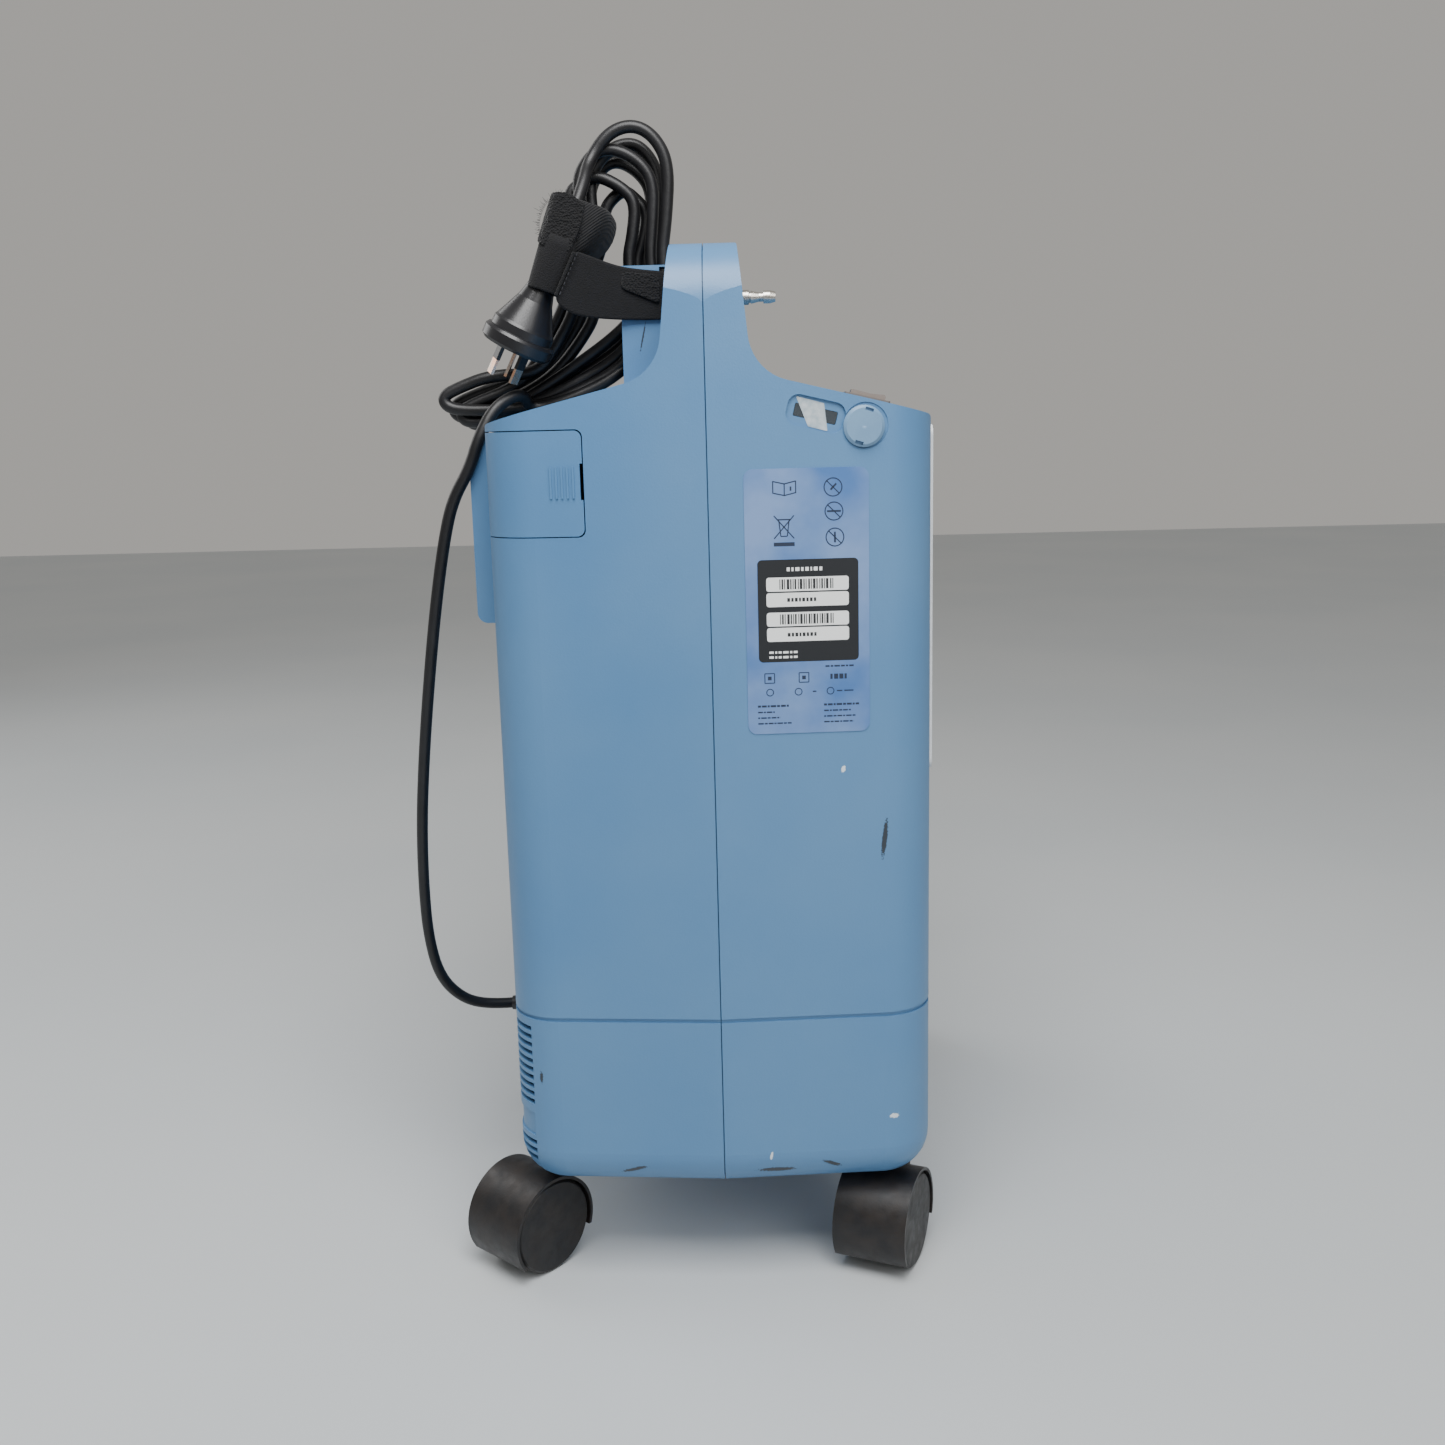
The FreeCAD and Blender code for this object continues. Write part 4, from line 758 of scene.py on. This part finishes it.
class CONCENTRATOR_OT_strap(bpy.types.Operator):
    """Wrap the hook and loop strap round the coil and the plug's tail, and through the cheek"""

    bl_idname = "concentrator.strap"
    bl_label = "Hook and loop strap"

    def execute(self, context):
        thick = sizes().strap_thickness
        pile = woven_loop("nylon loop pile", 0.0008, 0.0003, "0C0C10")
        hook = woven_loop("nylon hook patch", 0.0012, 0.0009, "0D0D10")
        ribs = ribbed_tape()
        # The upper wrap holds all the strands; the lower one narrows onto the plug's tail.
        upper = [
            wrap_ring(0, 1.6, -15.5, 30.4, 14.6, 4.5),
            wrap_ring(0, 1.4, -14.4, 31, 15.8, 4.8),
            wrap_ring(0, 1.6, -5, 31.4, 16.6, 5.2),
            wrap_ring(0, 3.4, 4, 31.2, 14.6, 5.2),
            wrap_ring(0, 4.8, 10.4, 30.8, 12.4, 4.8),
            wrap_ring(0, 5.0, 11.4, 30.2, 11.8, 4.5),
        ]
        wrap = new_piece("strap_upper_wrap", lofted(upper), ribs, modifiers=cloth(thick, 1))
        lower = [
            wrap_ring(-23.5, 6.8, 6, 11.2, 10.2, 2.6),
            wrap_ring(-23.8, 7.0, 16, 11.0, 9.8, 2.6),
            wrap_ring(-24.0, 7.4, 26, 10.4, 9.2, 2.5),
            wrap_ring(-24.0, 7.6, 34, 9.8, 8.7, 2.4),
            wrap_ring(-24.0, 7.6, 36, 9.6, 8.5, 2.4),
        ]
        sleeve = new_piece("strap_lower_sleeve", lofted(lower), pile, modifiers=cloth(thick, 1))
        # The flat run hangs from the wrap's near side to the cheek and turns in through its slot.
        band = new_piece(
            "strap_flat_run",
            strip(
                [(-133.4, 70.6, 589.4), (-131.6, 64.5, 587.2), (-128.6, 56.5, 584.2), (-124.4, 47.6, 581.4),
                 (-122.6, 40, 580.2), (-121.6, 33, 579.4), (-121.4, 26, 578.7), (-120.9, 23.6, 578.4),
                 (-118.5, 23.2, 578.4), (-112, 23.2, 578.4)],
                [(-133.6, 82.6, 563.0), (-132, 75.4, 556.6), (-129, 66, 554.2), (-125, 54, 553.2),
                 (-122.8, 44, 552.8), (-121.6, 34, 552.6), (-121.4, 26.4, 552.6), (-120.9, 23.6, 552.6),
                 (-118.5, 23.2, 552.6), (-112, 23.2, 552.6)],
                6,
            ),
            pile,
            modifiers=cloth(thick, 2),
        )
        # The strap's hooked end laps the flat run beside the neck, cut on a slant.
        tab = new_piece(
            "strap_end_tab",
            strip(
                [(-125.0, 45.6, 578.6), (-123.6, 38, 577.6), (-123.0, 31, 577.2), (-122.8, 25.4, 576.8)],
                [(-125.2, 46.2, 569.4), (-123.8, 38, 566.4), (-123.0, 31, 563.4), (-122.8, 25.4, 560.8)],
            ),
            hook,
            modifiers=cloth(thick * 0.6, 2),
        )
        # The hook end: a rounded patch pressed on the near side and round its rear edge.
        bm = bmesh.new()
        bmesh.ops.create_grid(bm, x_segments=36, y_segments=44, size=0.5)
        for vert in bm.verts:
            u, v = vert.co.x * 2, vert.co.y * 2
            reach = max(abs(u), abs(v))
            if reach > 0:
                keep = 0.5 * reach + 0.5 * reach * reach / math.hypot(u, v)
                u, v = u / reach * keep, v / reach * keep
            across, along = 9.0 + u * 11.0, -1.2 + v * 15.2
            rough = noise.noise(Vector((u * 8, v * 10, 0.3)))
            curl = 0.16 * max(0.0, across - 13.0) ** 2
            vert.co = on_wrap(-33.4 + curl + rough * 0.5, across - 0.25 * curl, along)
        flap = new_piece("strap_hook_patch", bm, hook, modifiers=cloth(0.0024, 0))
        # The folded edge where sleeve and flat run meet, with its row of stitches.
        start, end = on_wrap(-34.0, -3.0, 11.4), on_wrap(-34.4, -0.4, 36.5)
        turn = (end - start).to_track_quat("Z", "X").to_matrix().to_4x4()
        bm = bmesh.new()
        size = (0.0016, 0.0026, (end - start).length)
        box_into(bm, size, Matrix.Translation((start + end) / 2) @ turn, 0.0005)
        fold = new_piece("strap_fold", bm, pile)
        bm = bmesh.new()
        for i in range(9):
            spot = start.lerp(end, (i + 0.5) / 9) + Vector((-0.0008, -0.0022, 0))
            box_into(bm, (0.0005, 0.0006, 0.0018), Matrix.Translation(spot) @ turn, 0.0002)
        seam = new_piece("strap_stitches", bm, woven_loop("nylon thread, black", 0.0006, 0.0002, "3A3A40"))
        # Loose fibres along the worn edge of the hook patch.
        bm = bmesh.new()
        for i in range(110):
            angle = math.radians(20 + 250 * i / 110)
            rim = on_wrap(-33.2, 9.0 + 10.6 * math.sin(angle), -1.2 - 14.6 * math.cos(angle))
            out = ACROSS * math.sin(angle) - BUNDLE * math.cos(angle)
            lean = noise.noise_vector(Vector((i * 0.7, 2.1, 0.4)))
            length = (1.6 + 3.4 * abs(noise.noise(Vector((i * 1.3, 5, 1))))) * MM
            tip = rim + (out + lean * 0.9) * length
            turned = (tip - rim).to_track_quat("Z", "X").to_matrix().to_4x4()
            bmesh.ops.create_cone(
                bm, cap_ends=True, segments=4, radius1=0.00012, radius2=0.00005, depth=(tip - rim).length,
                matrix=Matrix.Translation((rim + tip) / 2) @ turned,
            )
        fuzz = new_piece("strap_loose_fibres", bm, woven_loop("nylon fibre", 0.0004, 0.0001, "2A2A2F"))
        for piece in (wrap, sleeve, band, tab, flap):
            smooth(piece, 60)
        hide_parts("cord_strap")
        return {"FINISHED"}


# ------------------------------------------------------------------ small fittings
class CONCENTRATOR_OT_fittings(bpy.types.Operator):
    """Sleeves on the plug's two live pins, and the flow meter's scale"""

    bl_idname = "concentrator.fittings"
    bl_label = "Small fittings"

    def execute(self, context):
        # Insulating sleeves on the two live pins of the plug.
        axis = Vector((0.12, 0.46, -0.88)).normalized()
        face = Vector((-119.5, 107.5, 539)) * MM
        upright = Vector((0, 0, 1)).rotation_difference(axis).to_matrix().to_4x4()
        bm = bmesh.new()
        for angle, x, y in ((-30, -6.9, -4), (-90, 0, 8)):
            local = Matrix.Translation((x * MM, y * MM, 4.6 * MM)) @ Matrix.Rotation(math.radians(-angle), 4, "Z")
            box_into(bm, (0.0022, 0.0069, 0.0088), Matrix.Translation(face) @ upright @ local, 0.0003)
        sleeves = new_piece("plug_pin_sleeves", bm, plain_plastic("nylon pin sleeve", "131316", 0.4))
        # Flow scale ticks beside the meter tube.
        low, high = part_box("flow_meter_tube")
        panel_low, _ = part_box("front_insert_panel")
        bm = bmesh.new()
        for i in range(11):
            wide = 0.006 if i % 2 == 0 else 0.0035
            z = low[2] + 0.008 + i * 0.008
            centre = Matrix.Translation((high[0] + 0.0085 + wide / 2, panel_low[1] - 0.00005, z))
            box_into(bm, (wide, 0.0002, 0.0006), centre)
        ticks = new_piece("flow_scale", bm, ink("screen ink, grey", "3A4654"))
        return {"FINISHED"}


# ------------------------------------------------------------------ stage
class CONCENTRATOR_OT_stage(bpy.types.Operator):
    """A plain pale floor, soft studio light and the camera"""

    bl_idname = "concentrator.stage"
    bl_label = "Studio"

    def execute(self, context):
        floor_stuff, shader, place = finish("painted studio floor", Roughness=0.55)
        varied_colour(floor_stuff, shader, place, linear(colours().floor), linear("C4C9CC"), 0.6)
        grain_bump(floor_stuff, shader, place, 0.02, 0.0002)
        bm = bmesh.new()
        bmesh.ops.create_grid(bm, x_segments=1, y_segments=1, size=6.0)
        mesh = bpy.data.meshes.new("floor")
        bm.to_mesh(mesh)
        bm.free()
        floor = bpy.data.objects.new("floor", mesh)
        mesh.materials.append(floor_stuff)
        context.scene.collection.objects.link(floor)
        world = bpy.data.worlds.new("studio")
        world.use_nodes = True
        world.node_tree.nodes["Background"].inputs["Color"].default_value = linear("E9E6E1")
        world.node_tree.nodes["Background"].inputs["Strength"].default_value = 0.5
        context.scene.world = world
        for name, spot, aim, size, power in (
            ("overhead", (-0.75, 0.0, 1.45), (0, 0, 0.5), 0.8, 24),
            ("camera_side", (-1.9, -0.9, 1.5), (0, 0, 0.3), 1.4, 18),
            ("behind", (0.9, 1.6, 1.4), (0, 0, 0.3), 1.2, 12),
        ):
            light = bpy.data.lights.new(name, "AREA")
            light.size = size
            light.energy = power
            lamp = bpy.data.objects.new(name, light)
            lamp.location = spot
            lamp.rotation_euler = (Vector(aim) - Vector(spot)).to_track_quat("-Z", "Y").to_euler()
            context.scene.collection.objects.link(lamp)
        # The camera stands level with the top of the body, off its left side.
        pitch, yaw, roll = 0.1955, 0.0164, 0.0243
        forward = Vector(
            (math.cos(pitch) * math.cos(yaw), math.cos(pitch) * math.sin(yaw), -math.sin(pitch))
        )
        right = Vector((math.sin(yaw), -math.cos(yaw), 0))
        up = right.cross(forward)
        turned_right = math.cos(roll) * right - math.sin(roll) * up
        turned_up = math.sin(roll) * right + math.cos(roll) * up
        camera_data = bpy.data.cameras.new("camera")
        camera_data.sensor_width = 36.0
        camera_data.lens = 36.1
        camera = bpy.data.objects.new("camera", camera_data)
        context.scene.collection.objects.link(camera)
        basis = Matrix((turned_right, turned_up, -forward)).transposed().to_4x4()
        camera.matrix_world = Matrix.Translation((-0.9553, -0.0174, 0.4886)) @ basis
        context.scene.camera = camera
        return {"FINISHED"}


class CONCENTRATOR_PT_panel(bpy.types.Panel):
    """Steps of the concentrator's looks"""

    bl_idname = "CONCENTRATOR_PT_panel"
    bl_label = "Concentrator"
    bl_space_type = "VIEW_3D"
    bl_region_type = "UI"
    bl_category = "Concentrator"

    def draw(self, context):
        for step in STEPS:
            self.layout.operator(step.bl_idname)
        for group in (sizes(), colours()):
            for key in group.__annotations__:
                self.layout.prop(group, key)


STEPS = (
    CONCENTRATOR_OT_stage,
    CONCENTRATOR_OT_finishes,
    CONCENTRATOR_OT_label,
    CONCENTRATOR_OT_lead,
    CONCENTRATOR_OT_strap,
    CONCENTRATOR_OT_fittings,
)
CLASSES = (ConcentratorSizes, ConcentratorColours, *STEPS, CONCENTRATOR_PT_panel)


def register():
    for cls in CLASSES:
        bpy.utils.register_class(cls)
    bpy.types.Scene.concentrator_sizes = bpy.props.PointerProperty(type=ConcentratorSizes)
    bpy.types.Scene.concentrator_colours = bpy.props.PointerProperty(type=ConcentratorColours)


def unregister():
    del bpy.types.Scene.concentrator_colours
    del bpy.types.Scene.concentrator_sizes
    for cls in reversed(CLASSES):
        bpy.utils.unregister_class(cls)


def main():
    register()
    bpy.ops.concentrator.stage()
    bpy.ops.concentrator.finishes()
    bpy.ops.concentrator.label()
    bpy.ops.concentrator.lead()
    bpy.ops.concentrator.strap()
    bpy.ops.concentrator.fittings()


if __name__ == "__main__":
    main()
